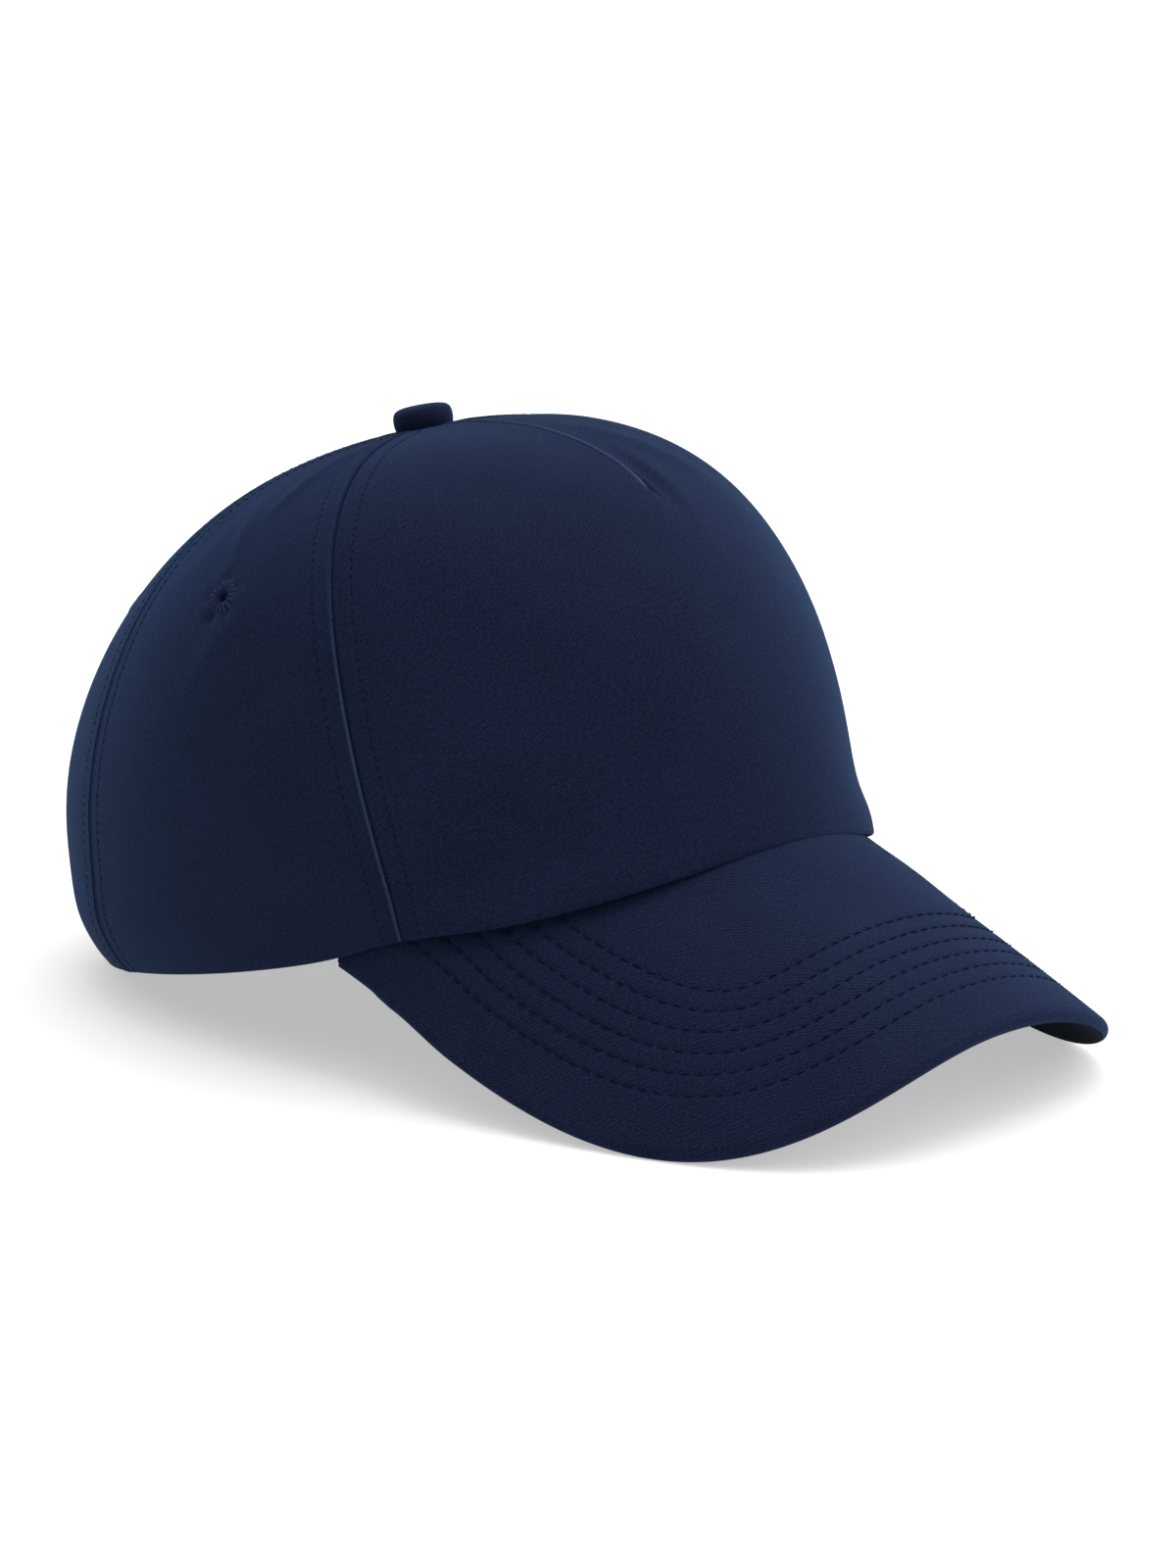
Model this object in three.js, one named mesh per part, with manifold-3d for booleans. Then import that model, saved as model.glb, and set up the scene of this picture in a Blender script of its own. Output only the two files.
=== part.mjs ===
// Baseball cap: five fabric panels over a domed crown, a curved three-layer visor, a covered top
// button, stitched eyelets, seam tapes, a padded sweatband and a hook-and-loop closure at the back.
// Millimetres. The wearer faces -Y, +X is the wearer's left and +Z is up. The cap is drawn level, then
// leaned back until it rests on its rear hem and on both sides of its visor.
import {
  BoxGeometry, BufferAttribute, BufferGeometry, Group, LatheGeometry, MathUtils, Mesh,
  MeshStandardMaterial, Vector2, Vector3,
} from 'three';
import { mergeVertices } from 'three/addons/utils/BufferGeometryUtils.js';
import Module from 'manifold-3d';

const wasm = await Module();
wasm.setup();

// ---- driving dimensions ----
const leanBack = 11.4; // degrees from level to the resting attitude
const standShift = new Vector3(0, 20.1, 21.36); // puts the origin under the middle of the resting cap

const hem = { halfWidth: 77, front: 100, back: 112, roundness: 2.06 };
const hemRise = { broad: 11.5, broadFall: 2.5, peak: 5.5, peakFall: 24, rearDip: 1.9, dipFall: 6 };
const crownHeight = 120;
const wallLean = { front: -6, side: 14, back: 29 }; // degrees outward from upright at the hem
const wallReach = { front: 42.5, side: 36, back: 51 }; // lower handle of each rib's curve
const topReach = { front: 91, side: 100.5, back: 79.5 }; // upper handle of each rib's curve
const topSlope = 0.04; // the top rises a little towards the front

const frontSeam = { hem: 61.5, top: 72 }; // degrees round from the front centre line
const rearSeam = { hem: 135, top: 115 };
const topHoleRadius = 3; // left open where the panels meet, for the button's shank
const seamGap = 0.3; // between neighbouring panels

const visor = { halfWidth: 79.5, reach: 158, root: 34, squareness: 2.75, thickness: 4 };
const visorSide = { length: 13, halfWidth: 76.4, flareLength: 36, share: 1 / 14 }; // straight, at the root
const visorCurve = { height: 13.3, slope: 0.73, drop: 63.5, dropWidth: 80, dropPower: 2.45, hemBlend: 16 };
const visorHemAngle = 74.5; // where the visor ends under the hem, each side
const visorTuck = 1.5; // how far its inner edge goes in under the front panel
const visorGap = 0.4;

const layer = { // depths in from the crown's outer surface
  panel: [0, 1.2],
  lining: [1.9, 2.6],
  dartTape: [3.4, 3.9],
  foam: [3.4, 4.8],
  label: [3.2, 3.7],
  strap: [3.4, 4.4],
  loop: [4.9, 5.7],
  hook: [6.2, 7],
  underStrap: [7.5, 8.5],
};
const tapeWidth = 12;
const sweatband = { height: 32, thickness: 1.2, depth: 3.4, paddedDepth: 5.5, rearDepth: 5.1 };
const foamHeight = 28;
const dart = { length: 76, tapeWidth: 9 };

const arch = { halfWidth: 38, height: 44, squareness: 3, bindingWidth: 8 };
const strap = { height: 20, lift: 1, hingeX: 34, rootEnd: 52, tip: 20, tipRound: 7 };
const gripX = 17; // half length of the hook and loop tapes
const eyelet = { hole: 3.3, bore: 1.7, body: 3, flange: 4, lip: 0.3, foot: -2.1 };
const sideEyelet = { angle: 91, climb: 92 };
const backEyelet = { angle: 149, climb: 97 };
const button = { radius: 7, height: 5.4, skin: 0.9, shank: 1.3 };
const washer = { radius: 6, thickness: 1, boss: 2.6 };
const label = { angle: 97, width: 28, height: 20, lift: 33.4 };

// ---- materials ----
const cloth = (color) => new MeshStandardMaterial({ color, roughness: 0.92, metalness: 0 });
const navyTwill = cloth(0x1d2236);
const underTwill = cloth(0x191e31);
const navyTape = cloth(0x20263d);
const navyThread = cloth(0x252c47);
const bandTwill = cloth(0x1b2034);
const meshBacking = cloth(0x2a2c33);
const paleFoam = cloth(0xb9bbbf);
const whiteSatin = cloth(0xe4e4e2);
const loopPile = cloth(0x171b2b);
const hookNylon = new MeshStandardMaterial({ color: 0x14171f, roughness: 0.6, metalness: 0 });
const board = new MeshStandardMaterial({ color: 0xd9d9d4, roughness: 0.55, metalness: 0 });
const steel = new MeshStandardMaterial({ color: 0x9a9da1, roughness: 0.35, metalness: 1 });

// ---- the crown's surface ----
const radians = MathUtils.degToRad;

function roundabout(values, angle) {
  const ends = (values.front + values.back) / 2;
  const swing = (values.front - values.back) / 2;
  return (ends + values.side) / 2 + swing * Math.cos(angle)
    + ((ends - values.side) / 2) * Math.cos(2 * angle);
}

function roundedRadius(angle, halfWidth, length, power) {
  const across = Math.abs(Math.sin(angle)) / halfWidth;
  const along = Math.abs(Math.cos(angle)) / length;
  return (across ** power + along ** power) ** (-1 / power);
}

function hemPoint(angle, inset = 0) {
  const length = Math.cos(angle) > 0 ? hem.front : hem.back;
  const radius = roundedRadius(angle, hem.halfWidth, length, hem.roundness) - inset;
  const forward = (1 + Math.cos(angle)) / 2;
  const height = hemRise.broad * forward ** hemRise.broadFall
    + hemRise.peak * forward ** hemRise.peakFall
    - hemRise.rearDip * (1 - forward) ** hemRise.dipFall;
  return new Vector3(radius * Math.sin(angle), -radius * Math.cos(angle), height);
}

// A point of the outer surface: angle goes round from the front centre line towards +X, and climb goes
// from 0 at the hem to 1 at the top, along one cubic curve for each angle.
function crownPoint(angle, climb) {
  const outward = new Vector3(Math.sin(angle), -Math.cos(angle), 0);
  const lean = radians(roundabout(wallLean, angle));
  const start = hemPoint(angle);
  const rise = outward.clone().multiplyScalar(Math.sin(lean)).setZ(Math.cos(lean));
  const lower = start.clone().addScaledVector(rise, roundabout(wallReach, angle));
  const top = new Vector3(0, 0, crownHeight);
  const slope = outward.clone().setZ(topSlope * Math.cos(angle));
  const upper = top.clone().addScaledVector(slope, roundabout(topReach, angle));
  const rest = 1 - climb;
  return start.multiplyScalar(rest ** 3)
    .addScaledVector(lower, 3 * rest ** 2 * climb)
    .addScaledVector(upper, 3 * rest * climb ** 2)
    .addScaledVector(top, climb ** 3);
}

function crownNormal(angle, climb) {
  const step = 0.002;
  const round = crownPoint(angle + step, climb).sub(crownPoint(angle - step, climb));
  const up = crownPoint(angle, climb + step).sub(crownPoint(angle, climb - step));
  return round.cross(up).normalize();
}

const insideCrown = (angle, climb, depth) =>
  crownPoint(angle, climb).addScaledVector(crownNormal(angle, climb), -depth);

// The climb that lies a given distance above the hem, measured along the surface.
function climbAt(angle, distance) {
  const step = 0.004;
  let climb = 0;
  let travelled = 0;
  let last = crownPoint(angle, 0);
  while (travelled < distance) {
    climb += step;
    const next = crownPoint(angle, climb);
    travelled += next.distanceTo(last);
    last = next;
  }
  return climb - step * (travelled - distance) / Math.max(travelled, step);
}

const spread = (angle, climb) => Math.hypot(crownPoint(angle, climb).x, crownPoint(angle, climb).y);
const climbNearTop = (angle, radius) => 1 - radius / (3 * roundabout(topReach, angle));

// A place on the back of the crown: x across, rise above the hem along the surface.
function backPlace(x, rise) {
  let angle = Math.PI;
  let climb = climbAt(angle, rise);
  for (let turn = 0; turn < 6; turn += 1) {
    angle = Math.PI - Math.asin(x / spread(angle, climb));
    climb = climbAt(angle, rise);
  }
  return { angle, climb };
}

// ---- solids ----
function closedMesh(name, geometry, material) {
  geometry.deleteAttribute('normal');
  geometry.deleteAttribute('uv');
  const merged = mergeVertices(geometry, 1e-5);
  const spot = merged.attributes.position;
  const index = Array.from(merged.index.array);
  const [a, b, c] = [new Vector3(), new Vector3(), new Vector3()];
  let volume = 0;
  for (let i = 0; i < index.length; i += 3) {
    a.fromBufferAttribute(spot, index[i]);
    b.fromBufferAttribute(spot, index[i + 1]);
    c.fromBufferAttribute(spot, index[i + 2]);
    volume += a.dot(b.cross(c));
  }
  if (volume < 0) {
    for (let i = 0; i < index.length; i += 3) {
      [index[i], index[i + 1]] = [index[i + 1], index[i]];
    }
  }
  merged.setIndex(index);
  merged.computeVertexNormals();
  const mesh = new Mesh(merged, material);
  mesh.name = name;
  return mesh;
}

// A box whose grid is laid on a surface: place(u, v, outside) gives each corner's point.
function laidSheet(name, material, across, up, place) {
  const box = new BoxGeometry(1, 1, 1, across, up, 1);
  const spot = box.attributes.position;
  for (let i = 0; i < spot.count; i += 1) {
    const point = place(spot.getX(i) + 0.5, spot.getY(i) + 0.5, spot.getZ(i) > 0);
    spot.setXYZ(i, point.x, point.y, point.z);
  }
  return closedMesh(name, box, material);
}

// A sheet on the crown between two depths; where(u, v) gives its angle and climb.
function crownSheet(name, material, across, up, depths, where) {
  return laidSheet(name, material, across, up, (u, v, outside) => {
    const { angle, climb } = where(u, v);
    return insideCrown(angle, climb, depths[outside ? 0 : 1]);
  });
}

function toSolid(mesh) {
  return new wasm.Manifold(new wasm.Mesh({
    numProp: 3,
    vertProperties: Float32Array.from(mesh.geometry.attributes.position.array),
    triVerts: Uint32Array.from(mesh.geometry.index.array),
  }));
}

function fromSolid(name, solid, material) {
  const { vertProperties, triVerts } = solid.getMesh();
  const geometry = new BufferGeometry();
  geometry.setAttribute('position', new BufferAttribute(new Float32Array(vertProperties), 3));
  geometry.setIndex(new BufferAttribute(new Uint32Array(triVerts), 1));
  return closedMesh(name, geometry, material);
}

function turned(name, material, outline, segments) {
  const points = outline.map(([radius, height]) => new Vector2(radius, height));
  points.push(points[0].clone());
  const geometry = new LatheGeometry(points, segments);
  geometry.rotateX(Math.PI / 2);
  return closedMesh(name, geometry, material);
}

// ---- panels ----
const mix = MathUtils.lerp;
const seamAngle = (seam, climb) => radians(mix(seam.hem, seam.top, climb));

function besideSeam(seam, climb, distance) {
  const angle = seamAngle(seam, climb);
  return angle + distance / spread(angle, climb);
}

function frontPanel() {
  return crownSheet('front_panel', navyTwill, 16, 12, layer.panel, (u, v) => {
    const climb = v * climbNearTop(0, topHoleRadius);
    const edge = besideSeam(frontSeam, climb, -seamGap / 2);
    return { angle: mix(-edge, edge, u), climb };
  });
}

function sidePanel(name, side) {
  return crownSheet(name, navyTwill, 10, 12, layer.panel, (u, v) => {
    const climb = v * climbNearTop(Math.PI / 2, topHoleRadius);
    const front = besideSeam(frontSeam, climb, seamGap / 2);
    const rear = besideSeam(rearSeam, climb, -seamGap / 2);
    return { angle: side * mix(front, rear, u), climb };
  });
}

// The arch's outline: turn goes from 0 at the hem on the +X side to pi on the other.
function archPlace(turn, outset) {
  const cosine = Math.abs(Math.cos(turn));
  const sine = Math.sin(turn);
  const power = arch.squareness;
  const radius = (cosine ** power + sine ** power) ** (-1 / power);
  const x = (arch.halfWidth + outset) * radius * Math.cos(turn);
  return backPlace(x, (arch.height + outset) * radius * sine);
}

function backPanel(name, side) {
  const hemShare = 0.3; // part of the lower edge that is hem; the rest is the arch
  return crownSheet(name, navyTwill, 10, 14, layer.panel, (u, v) => {
    const topClimb = climbNearTop(Math.PI, topHoleRadius);
    const hemEnd = backPlace(arch.halfWidth, 0).angle;
    const lower = u <= hemShare
      ? { angle: mix(besideSeam(rearSeam, 0, seamGap / 2), hemEnd, u / hemShare), climb: 0 }
      : archPlace((Math.PI / 2) * (u - hemShare) / (1 - hemShare), 0);
    const upperAngle = mix(seamAngle(rearSeam, topClimb), Math.PI, u);
    let angle = mix(lower.angle, upperAngle, v);
    const climb = mix(lower.climb, topClimb, v);
    if (u === 0) {
      angle = besideSeam(rearSeam, climb, seamGap / 2);
    }
    if (u === 1) {
      angle = Math.PI - seamGap / 2 / spread(Math.PI, climb);
    }
    return { angle: side * angle, climb };
  });
}

// ---- eyelets ----
function atEyelet(mesh, place, side) {
  const angle = side * radians(place.angle);
  const climb = climbAt(angle, place.climb);
  mesh.position.copy(crownPoint(angle, climb));
  mesh.quaternion.setFromUnitVectors(new Vector3(0, 0, 1), crownNormal(angle, climb));
  mesh.updateMatrix();
  return mesh;
}

function pierced(panel, place, side) {
  const punch = turned('punch', navyTwill, [[0, -4], [eyelet.hole, -4], [eyelet.hole, 4], [0, 4]], 16);
  atEyelet(punch, place, side);
  punch.geometry.applyMatrix4(punch.matrix);
  return fromSolid(panel.name, toSolid(panel).subtract(toSolid(punch)), panel.material);
}

function stitchedEyelet(name, place, side) {
  const { bore, body, flange, lip, foot } = eyelet;
  const outline = [
    [bore, lip + 0.4], [flange, lip + 0.2], [flange, lip], [body, lip],
    [body, foot], [flange, foot], [flange, foot - 0.3], [bore, foot - 0.5],
  ];
  return atEyelet(turned(name, navyThread, outline, 16), place, side);
}

// ---- linings ----
const tapeWidthAt = (radius) => Math.min(tapeWidth, 0.6 * radius); // narrower where the seams meet

function seamTape(name, seam, side) {
  const start = 1;
  return crownSheet(name, navyTape, 2, 12, layer.lining, (u, v) => {
    const last = climbNearTop(seamAngle(seam, 1), 9);
    const climb = mix(climbAt(seamAngle(seam, 0), start), last, v);
    const width = tapeWidthAt(spread(seamAngle(seam, climb), climb));
    return { angle: side * besideSeam(seam, climb, (u - 0.5) * width), climb };
  });
}

function centreBackTape() {
  const first = climbAt(Math.PI, arch.height + arch.bindingWidth + 1);
  const last = climbNearTop(Math.PI, 9);
  return crownSheet('centre_back_seam_tape', navyTape, 2, 8, layer.lining, (u, v) => {
    const climb = mix(first, last, v);
    const radius = spread(Math.PI, climb);
    return { angle: Math.PI + (u - 0.5) * tapeWidthAt(radius) / radius, climb };
  });
}

function frontBuckram() {
  const clearOfTape = tapeWidth / 2 + 0.8;
  return crownSheet('front_buckram', meshBacking, 16, 11, layer.lining, (u, v) => {
    const climb = mix(climbAt(0, 1), climbNearTop(0, 18), v);
    const edge = besideSeam(frontSeam, climb, -clearOfTape);
    return { angle: mix(-edge, edge, u), climb };
  });
}

function dartTape() {
  const last = climbNearTop(0, 9);
  return crownSheet('dart_tape', navyTape, 2, 8, layer.dartTape, (u, v) => {
    const climb = mix(climbNearTop(0, dart.length + 9), last, v);
    return { angle: (u - 0.5) * dart.tapeWidth / spread(0, climb), climb };
  });
}

// ---- sweatband ----
const smooth = (from, to, value) => MathUtils.smoothstep(value, from, to);

function bandDepth(angle) {
  const around = Math.abs(angle);
  const padding = 1 - smooth(radians(56), radians(76), around);
  const rear = smooth(radians(132), radians(148), around);
  return sweatband.depth + padding * (sweatband.paddedDepth - sweatband.depth)
    + rear * (sweatband.rearDepth - sweatband.depth);
}

function sweatBand() {
  const end = backPlace(arch.halfWidth + 1, 0).angle;
  return laidSheet('sweatband', bandTwill, 48, 3, (u, v, outside) => {
    const angle = mix(-end, end, u);
    const climb = climbAt(angle, mix(0.6, sweatband.height, v));
    return insideCrown(angle, climb, bandDepth(angle) + (outside ? 0 : sweatband.thickness));
  });
}

function sweatbandFoam() {
  const reach = radians(52);
  return crownSheet('sweatband_foam', paleFoam, 16, 3, layer.foam, (u, v) => {
    const angle = mix(-reach, reach, u);
    return { angle, climb: climbAt(angle, mix(1.5, foamHeight, v)) };
  });
}

// ---- rear opening and closure ----
function archBinding() {
  return crownSheet('arch_binding', navyTape, 24, 2, layer.lining, (u, v) =>
    archPlace(mix(0.03, Math.PI - 0.03, u), v * arch.bindingWidth));
}

function strapBand(name, material, fromX, toX, depthAt, height = strap.height, tipRound = 0) {
  return laidSheet(name, material, 14, 3, (u, v, outside) => {
    const x = mix(fromX, toX, u);
    const toTip = Math.min(Math.abs(toX - x) / Math.max(tipRound, 1e-6), 1);
    const narrowing = tipRound ? tipRound * (1 - Math.sqrt(1 - (1 - toTip) ** 2)) : 0;
    const middle = strap.lift + strap.height / 2;
    const half = height / 2 - narrowing;
    const place = backPlace(x, middle + (v - 0.5) * 2 * half);
    return insideCrown(place.angle, place.climb, depthAt(x)[outside ? 0 : 1]);
  });
}

function underStrapDepth(x) {
  const sink = smooth(-32, -23, x);
  return [0, 1].map((face) => mix(layer.strap[face], layer.underStrap[face], sink));
}

function closure() {
  const { hingeX, rootEnd, tip, tipRound } = strap;
  const near = 0.4; // each moving strap starts this far from its hinge line
  const clear = 1.8; // and its sewn root ends this far on the other side
  const tapeHeight = strap.height - 3;
  return [
    strapBand('over_strap', navyTwill, hingeX - near, -tip, () => layer.strap, strap.height, tipRound),
    strapBand('over_strap_root', navyTwill, rootEnd, hingeX + clear, () => layer.strap),
    strapBand('loop_tape', loopPile, gripX, -gripX + 3, () => layer.loop, tapeHeight, 5),
    strapBand('under_strap', navyTwill, near - hingeX, tip, underStrapDepth, strap.height, tipRound),
    strapBand('under_strap_root', navyTwill, -rootEnd, -hingeX - clear, () => layer.strap),
    strapBand('hook_tape', hookNylon, -gripX, gripX - 3, () => layer.hook, tapeHeight, 5),
  ];
}

function sizeLabel() {
  const middle = radians(label.angle);
  const half = label.width / 2 / spread(middle, climbAt(middle, label.lift));
  return crownSheet('size_label', whiteSatin, 4, 2, layer.label, (u, v) => {
    const angle = middle + mix(-half, half, u);
    return { angle, climb: climbAt(angle, label.lift + v * label.height) };
  });
}

// ---- visor ----
function visorHeight(x, forward) {
  const { height, slope, drop, dropWidth, dropPower } = visorCurve;
  return height - slope * (forward - hem.front) - drop * Math.abs(x / dropWidth) ** dropPower;
}

// A point of the visor's upper surface: s goes across from -1 to 1, and out from 0 under the hem to 1
// at the outer edge.
function visorPoint(s, out) {
  const inner = hemPoint(s * radians(visorHemAngle), visorTuck);
  const rounded = Math.abs(s) / (1 - visorSide.share);
  const turn = Math.sign(s) * Math.min(rounded, 1) * Math.PI / 2;
  const back = Math.max(rounded - 1, 0) * (1 - visorSide.share) / visorSide.share * visorSide.length;
  const radius = roundedRadius(turn, visor.halfWidth, visor.reach - visor.root, visor.squareness);
  const forward = radius * Math.cos(turn) - back;
  const widening = smooth(-visorSide.length, visorSide.flareLength - visorSide.length, forward);
  const flare = mix(visorSide.halfWidth / visor.halfWidth, 1, widening);
  const edge = new Vector3(flare * radius * Math.sin(turn), -visor.root - forward, inner.z);
  const point = inner.clone().lerp(edge, out);
  const step = inner.z - visorGap - visorHeight(inner.x, -inner.y);
  const nearHem = 1 - smooth(0, visorCurve.hemBlend, inner.distanceTo(point));
  return point.setZ(visorHeight(point.x, -point.y) + step * nearHem);
}

function inVisor(s, out, depth) {
  const step = 0.01;
  const [left, right] = [Math.max(s - step, -1), Math.min(s + step, 1)];
  const [back, fore] = [Math.max(out - step, 0), Math.min(out + step, 1)];
  const across = visorPoint(right, out).sub(visorPoint(left, out));
  const inward = visorPoint(s, back).sub(visorPoint(s, fore));
  return visorPoint(s, out).addScaledVector(across.cross(inward).normalize(), -depth);
}

const visorLength = (s) => visorPoint(s, 0).distanceTo(visorPoint(s, 1));

function visorSheet(name, material, depths, edgeInset, endInset, rim = [0, 0]) {
  const reach = 1 - endInset;
  return laidSheet(name, material, 28, rim[1] ? 1 : 7, (u, v, outside) => {
    const s = mix(-reach, reach, u);
    const length = visorLength(s);
    const outer = 1 - edgeInset / length;
    const inner = rim[1] ? 1 - rim[1] / length : 0;
    return inVisor(s, mix(outer, inner, v), depths[outside ? 0 : 1]);
  });
}

function visorParts() {
  const skin = 0.7;
  const boardTop = skin + visorGap;
  const boardFoot = visor.thickness - skin - visorGap;
  const top = visorSheet('visor_top_cover', navyTwill, [0, skin], 0, 0);
  const rim = visorSheet('rim', navyTwill, [skin / 2, boardFoot], 0, 0, [0, 0.9]);
  return [
    fromSolid('visor_top_cover', toSolid(top).add(toSolid(rim)), navyTwill),
    visorSheet('visor_board', board, [boardTop, boardFoot], 1.6, 0.08),
    visorSheet('visor_under_cover', underTwill, [visor.thickness - skin, visor.thickness], 0, 0),
  ];
}

// ---- top button ----
function buttonCover() {
  const { radius, height, skin } = button;
  const dome = (r, h, steps) => Array.from({ length: steps + 1 }, (_, i) => {
    const turn = (Math.PI / 2) * (i / steps);
    return [r * Math.cos(turn) ** 0.6, h * Math.sin(turn) ** 0.8];
  });
  const outer = dome(radius, height, 7);
  outer[outer.length - 1][0] = 0;
  const inner = dome(radius - skin, height - skin, 7).reverse();
  inner[0][0] = 0;
  return turned('button_cover', navyTwill, [...outer, ...inner], 24);
}

function buttonShell() {
  const radius = button.radius - button.skin - 0.3;
  const height = button.height - button.skin - 0.4;
  const outline = [
    [radius, 0.1], [radius * 0.97, height * 0.55], [radius * 0.72, height * 0.92], [0, height],
    [0, height - 0.7], [radius * 0.66, height * 0.75], [radius - 0.8, height * 0.5], [radius - 0.8, 0.1],
  ];
  return turned('button_shell', steel, outline, 20);
}

function buttonRivet() {
  const head = button.height - button.skin - 0.4 - 0.7 - 0.3;
  const foot = -layer.lining[1] - 3.2;
  const { shank } = button;
  const outline = [
    [0, head], [shank + 1.2, head], [shank + 1.2, head - 0.7], [shank, head - 0.7], [shank, foot], [0, foot],
  ];
  return turned('button_rivet', steel, outline, 16);
}

function buttonWasher() {
  const top = -layer.lining[1] - 2;
  const foot = top - washer.boss;
  const bore = button.shank + 0.3;
  const outline = [
    [0, foot], [washer.radius, foot], [washer.radius, foot + washer.thickness],
    [bore + 0.9, foot + washer.thickness], [bore + 0.9, top], [bore, top], [bore, foot + 0.7], [0, foot + 0.7],
  ];
  return turned('button_washer', steel, outline, 24);
}

function topButton() {
  const seat = new Group();
  seat.position.set(0, 0, crownHeight + 0.5);
  seat.rotation.x = -Math.atan(topSlope);
  seat.add(buttonCover(), buttonShell(), buttonRivet(), buttonWasher());
  return seat;
}

// ---- assembly ----
const cap = new Group();
cap.rotation.x = -radians(leanBack);
cap.position.copy(standShift);
for (const [word, side] of [['left', 1], ['right', -1]]) {
  cap.add(
    pierced(sidePanel(`${word}_side_panel`, side), sideEyelet, side),
    pierced(backPanel(`${word}_back_panel`, side), backEyelet, side),
    stitchedEyelet(`${word}_side_eyelet`, sideEyelet, side),
    stitchedEyelet(`${word}_back_eyelet`, backEyelet, side),
    seamTape(`${word}_front_seam_tape`, frontSeam, side),
    seamTape(`${word}_rear_seam_tape`, rearSeam, side),
  );
}
cap.add(
  frontPanel(), frontBuckram(), dartTape(), centreBackTape(), archBinding(),
  sweatBand(), sweatbandFoam(), sizeLabel(), ...closure(), ...visorParts(), topButton(),
);

export default cap;
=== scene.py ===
import math
from contextlib import contextmanager

import bmesh
import bpy
import numpy as np
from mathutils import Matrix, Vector
from mathutils.kdtree import KDTree


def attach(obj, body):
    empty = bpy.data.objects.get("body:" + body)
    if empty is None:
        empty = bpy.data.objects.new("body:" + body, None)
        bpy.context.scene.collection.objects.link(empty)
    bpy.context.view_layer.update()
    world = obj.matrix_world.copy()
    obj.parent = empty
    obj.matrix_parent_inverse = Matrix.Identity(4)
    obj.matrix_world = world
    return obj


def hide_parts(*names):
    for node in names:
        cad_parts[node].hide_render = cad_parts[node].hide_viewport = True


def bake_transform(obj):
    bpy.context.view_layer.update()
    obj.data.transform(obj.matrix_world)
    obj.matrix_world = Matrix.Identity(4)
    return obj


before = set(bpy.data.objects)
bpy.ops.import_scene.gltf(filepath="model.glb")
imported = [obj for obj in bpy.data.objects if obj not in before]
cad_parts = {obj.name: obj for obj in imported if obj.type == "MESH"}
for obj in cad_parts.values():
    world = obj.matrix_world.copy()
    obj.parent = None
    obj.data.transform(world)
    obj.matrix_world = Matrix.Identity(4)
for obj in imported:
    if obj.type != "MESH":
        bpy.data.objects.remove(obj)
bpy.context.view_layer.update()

# A structured five-panel baseball cap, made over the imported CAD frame. Shapes are worked out in
# millimetres with the cap level, the wearer facing -Y and +X on the wearer's left. to_row() leans
# the cap back onto its rear hem and visor and puts it in the row's frame, in metres.

MM = 0.001
CAP = "cap_body"
RNG = np.random.default_rng(7)

# ---- driving dimensions, as in the CAD source ----
LEAN_BACK = math.radians(11.4)
STAND_SHIFT = np.array([0.0, 20.1, 21.36])  # the level frame's origin, above the resting point
HEM = {"half_width": 77.0, "front": 100.0, "back": 112.0, "roundness": 2.06}
HEM_RISE = {"broad": 11.5, "broad_fall": 2.5, "peak": 5.5, "peak_fall": 24, "dip": 1.9,
            "dip_fall": 6, "seam": 1.8, "seam_angle": 60, "seam_width": 12}
CROWN_HEIGHT = 120.0
WALL_LEAN = (-6.0, 14.0, 29.0)  # degrees outward from upright: front, side, back
WALL_REACH = (42.5, 36.0, 51.0)
TOP_REACH = (91.0, 100.5, 79.5)
TOP_SLOPE = 0.04
FRONT_SEAM = (60.6, 69.6)  # degrees from the front centre line, at the hem and at the top
REAR_SEAM = (135.0, 115.0)
VISOR = {"half_width": 79.5, "reach": 158.0, "root": 34.0, "squareness": 2.75, "thickness": 4.0,
         "hem_angle": 74.5, "tuck": 1.5, "gap": 0.4, "proud": 1.1, "end_thickness": 1.6}
VISOR_SIDE = {"length": 13.0, "half_width": 76.4, "flare_length": 36.0, "share": 1 / 14}
VISOR_CURVE = {"height": 13.3, "slope": 0.73, "drop": 63.5, "drop_width": 80.0, "drop_power": 2.45,
               "hem_blend": 16.0, "lift": 2.6, "lift_width": 45.0}
ARCH = {"half_width": 38.0, "height": 44.0, "squareness": 3.0, "binding": 8.0}
STRAP = {"height": 20.0, "lift": 1.0, "hinge_x": 34.0, "root_end": 52.0, "tip": 20.0,
         "tip_round": 7.0}
BAND = {"height": 32.0, "depth": 3.4, "padded_depth": 5.5, "rear_depth": 5.1}
# Eyelets: degrees round, millimetres above the hem along the surface, how hard the thread pulls.
SIDE_EYELET = (91.5, 90.8, 1.0)
BACK_EYELET = (149.0, 97.0, 0.35)
EYELET_BORE = 1.5
EYELET_RIM = 4.5
DART_LENGTH = 76.0
LABEL = {"angle": 97.0, "width": 28.0, "height": 20.0, "lift": 33.4}
BUTTON_LIFT = -0.15

PANEL_THICKNESS = 1.0
SEAM_STITCH = 5.0  # from the seam to each row of topstitching
VISOR_ROWS = 6
VISOR_FIRST_ROW = 13.7  # from the visor's edge
VISOR_ROW_GAP = 5.35


# ---- the crown's surface ----
def smooth(low, high, value):
    t = np.clip((value - low) / (high - low), 0, 1)
    return t * t * (3 - 2 * t)


def mix(a, b, t):
    return a + (b - a) * t


def bump(distance, width):
    return np.exp(-((distance / width) ** 2))


def roundabout(values, angle):
    front, side, back = values
    ends = (front + back) / 2
    return ((ends + side) / 2 + (front - back) / 2 * np.cos(angle)
            + (ends - side) / 2 * np.cos(2 * angle))


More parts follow.
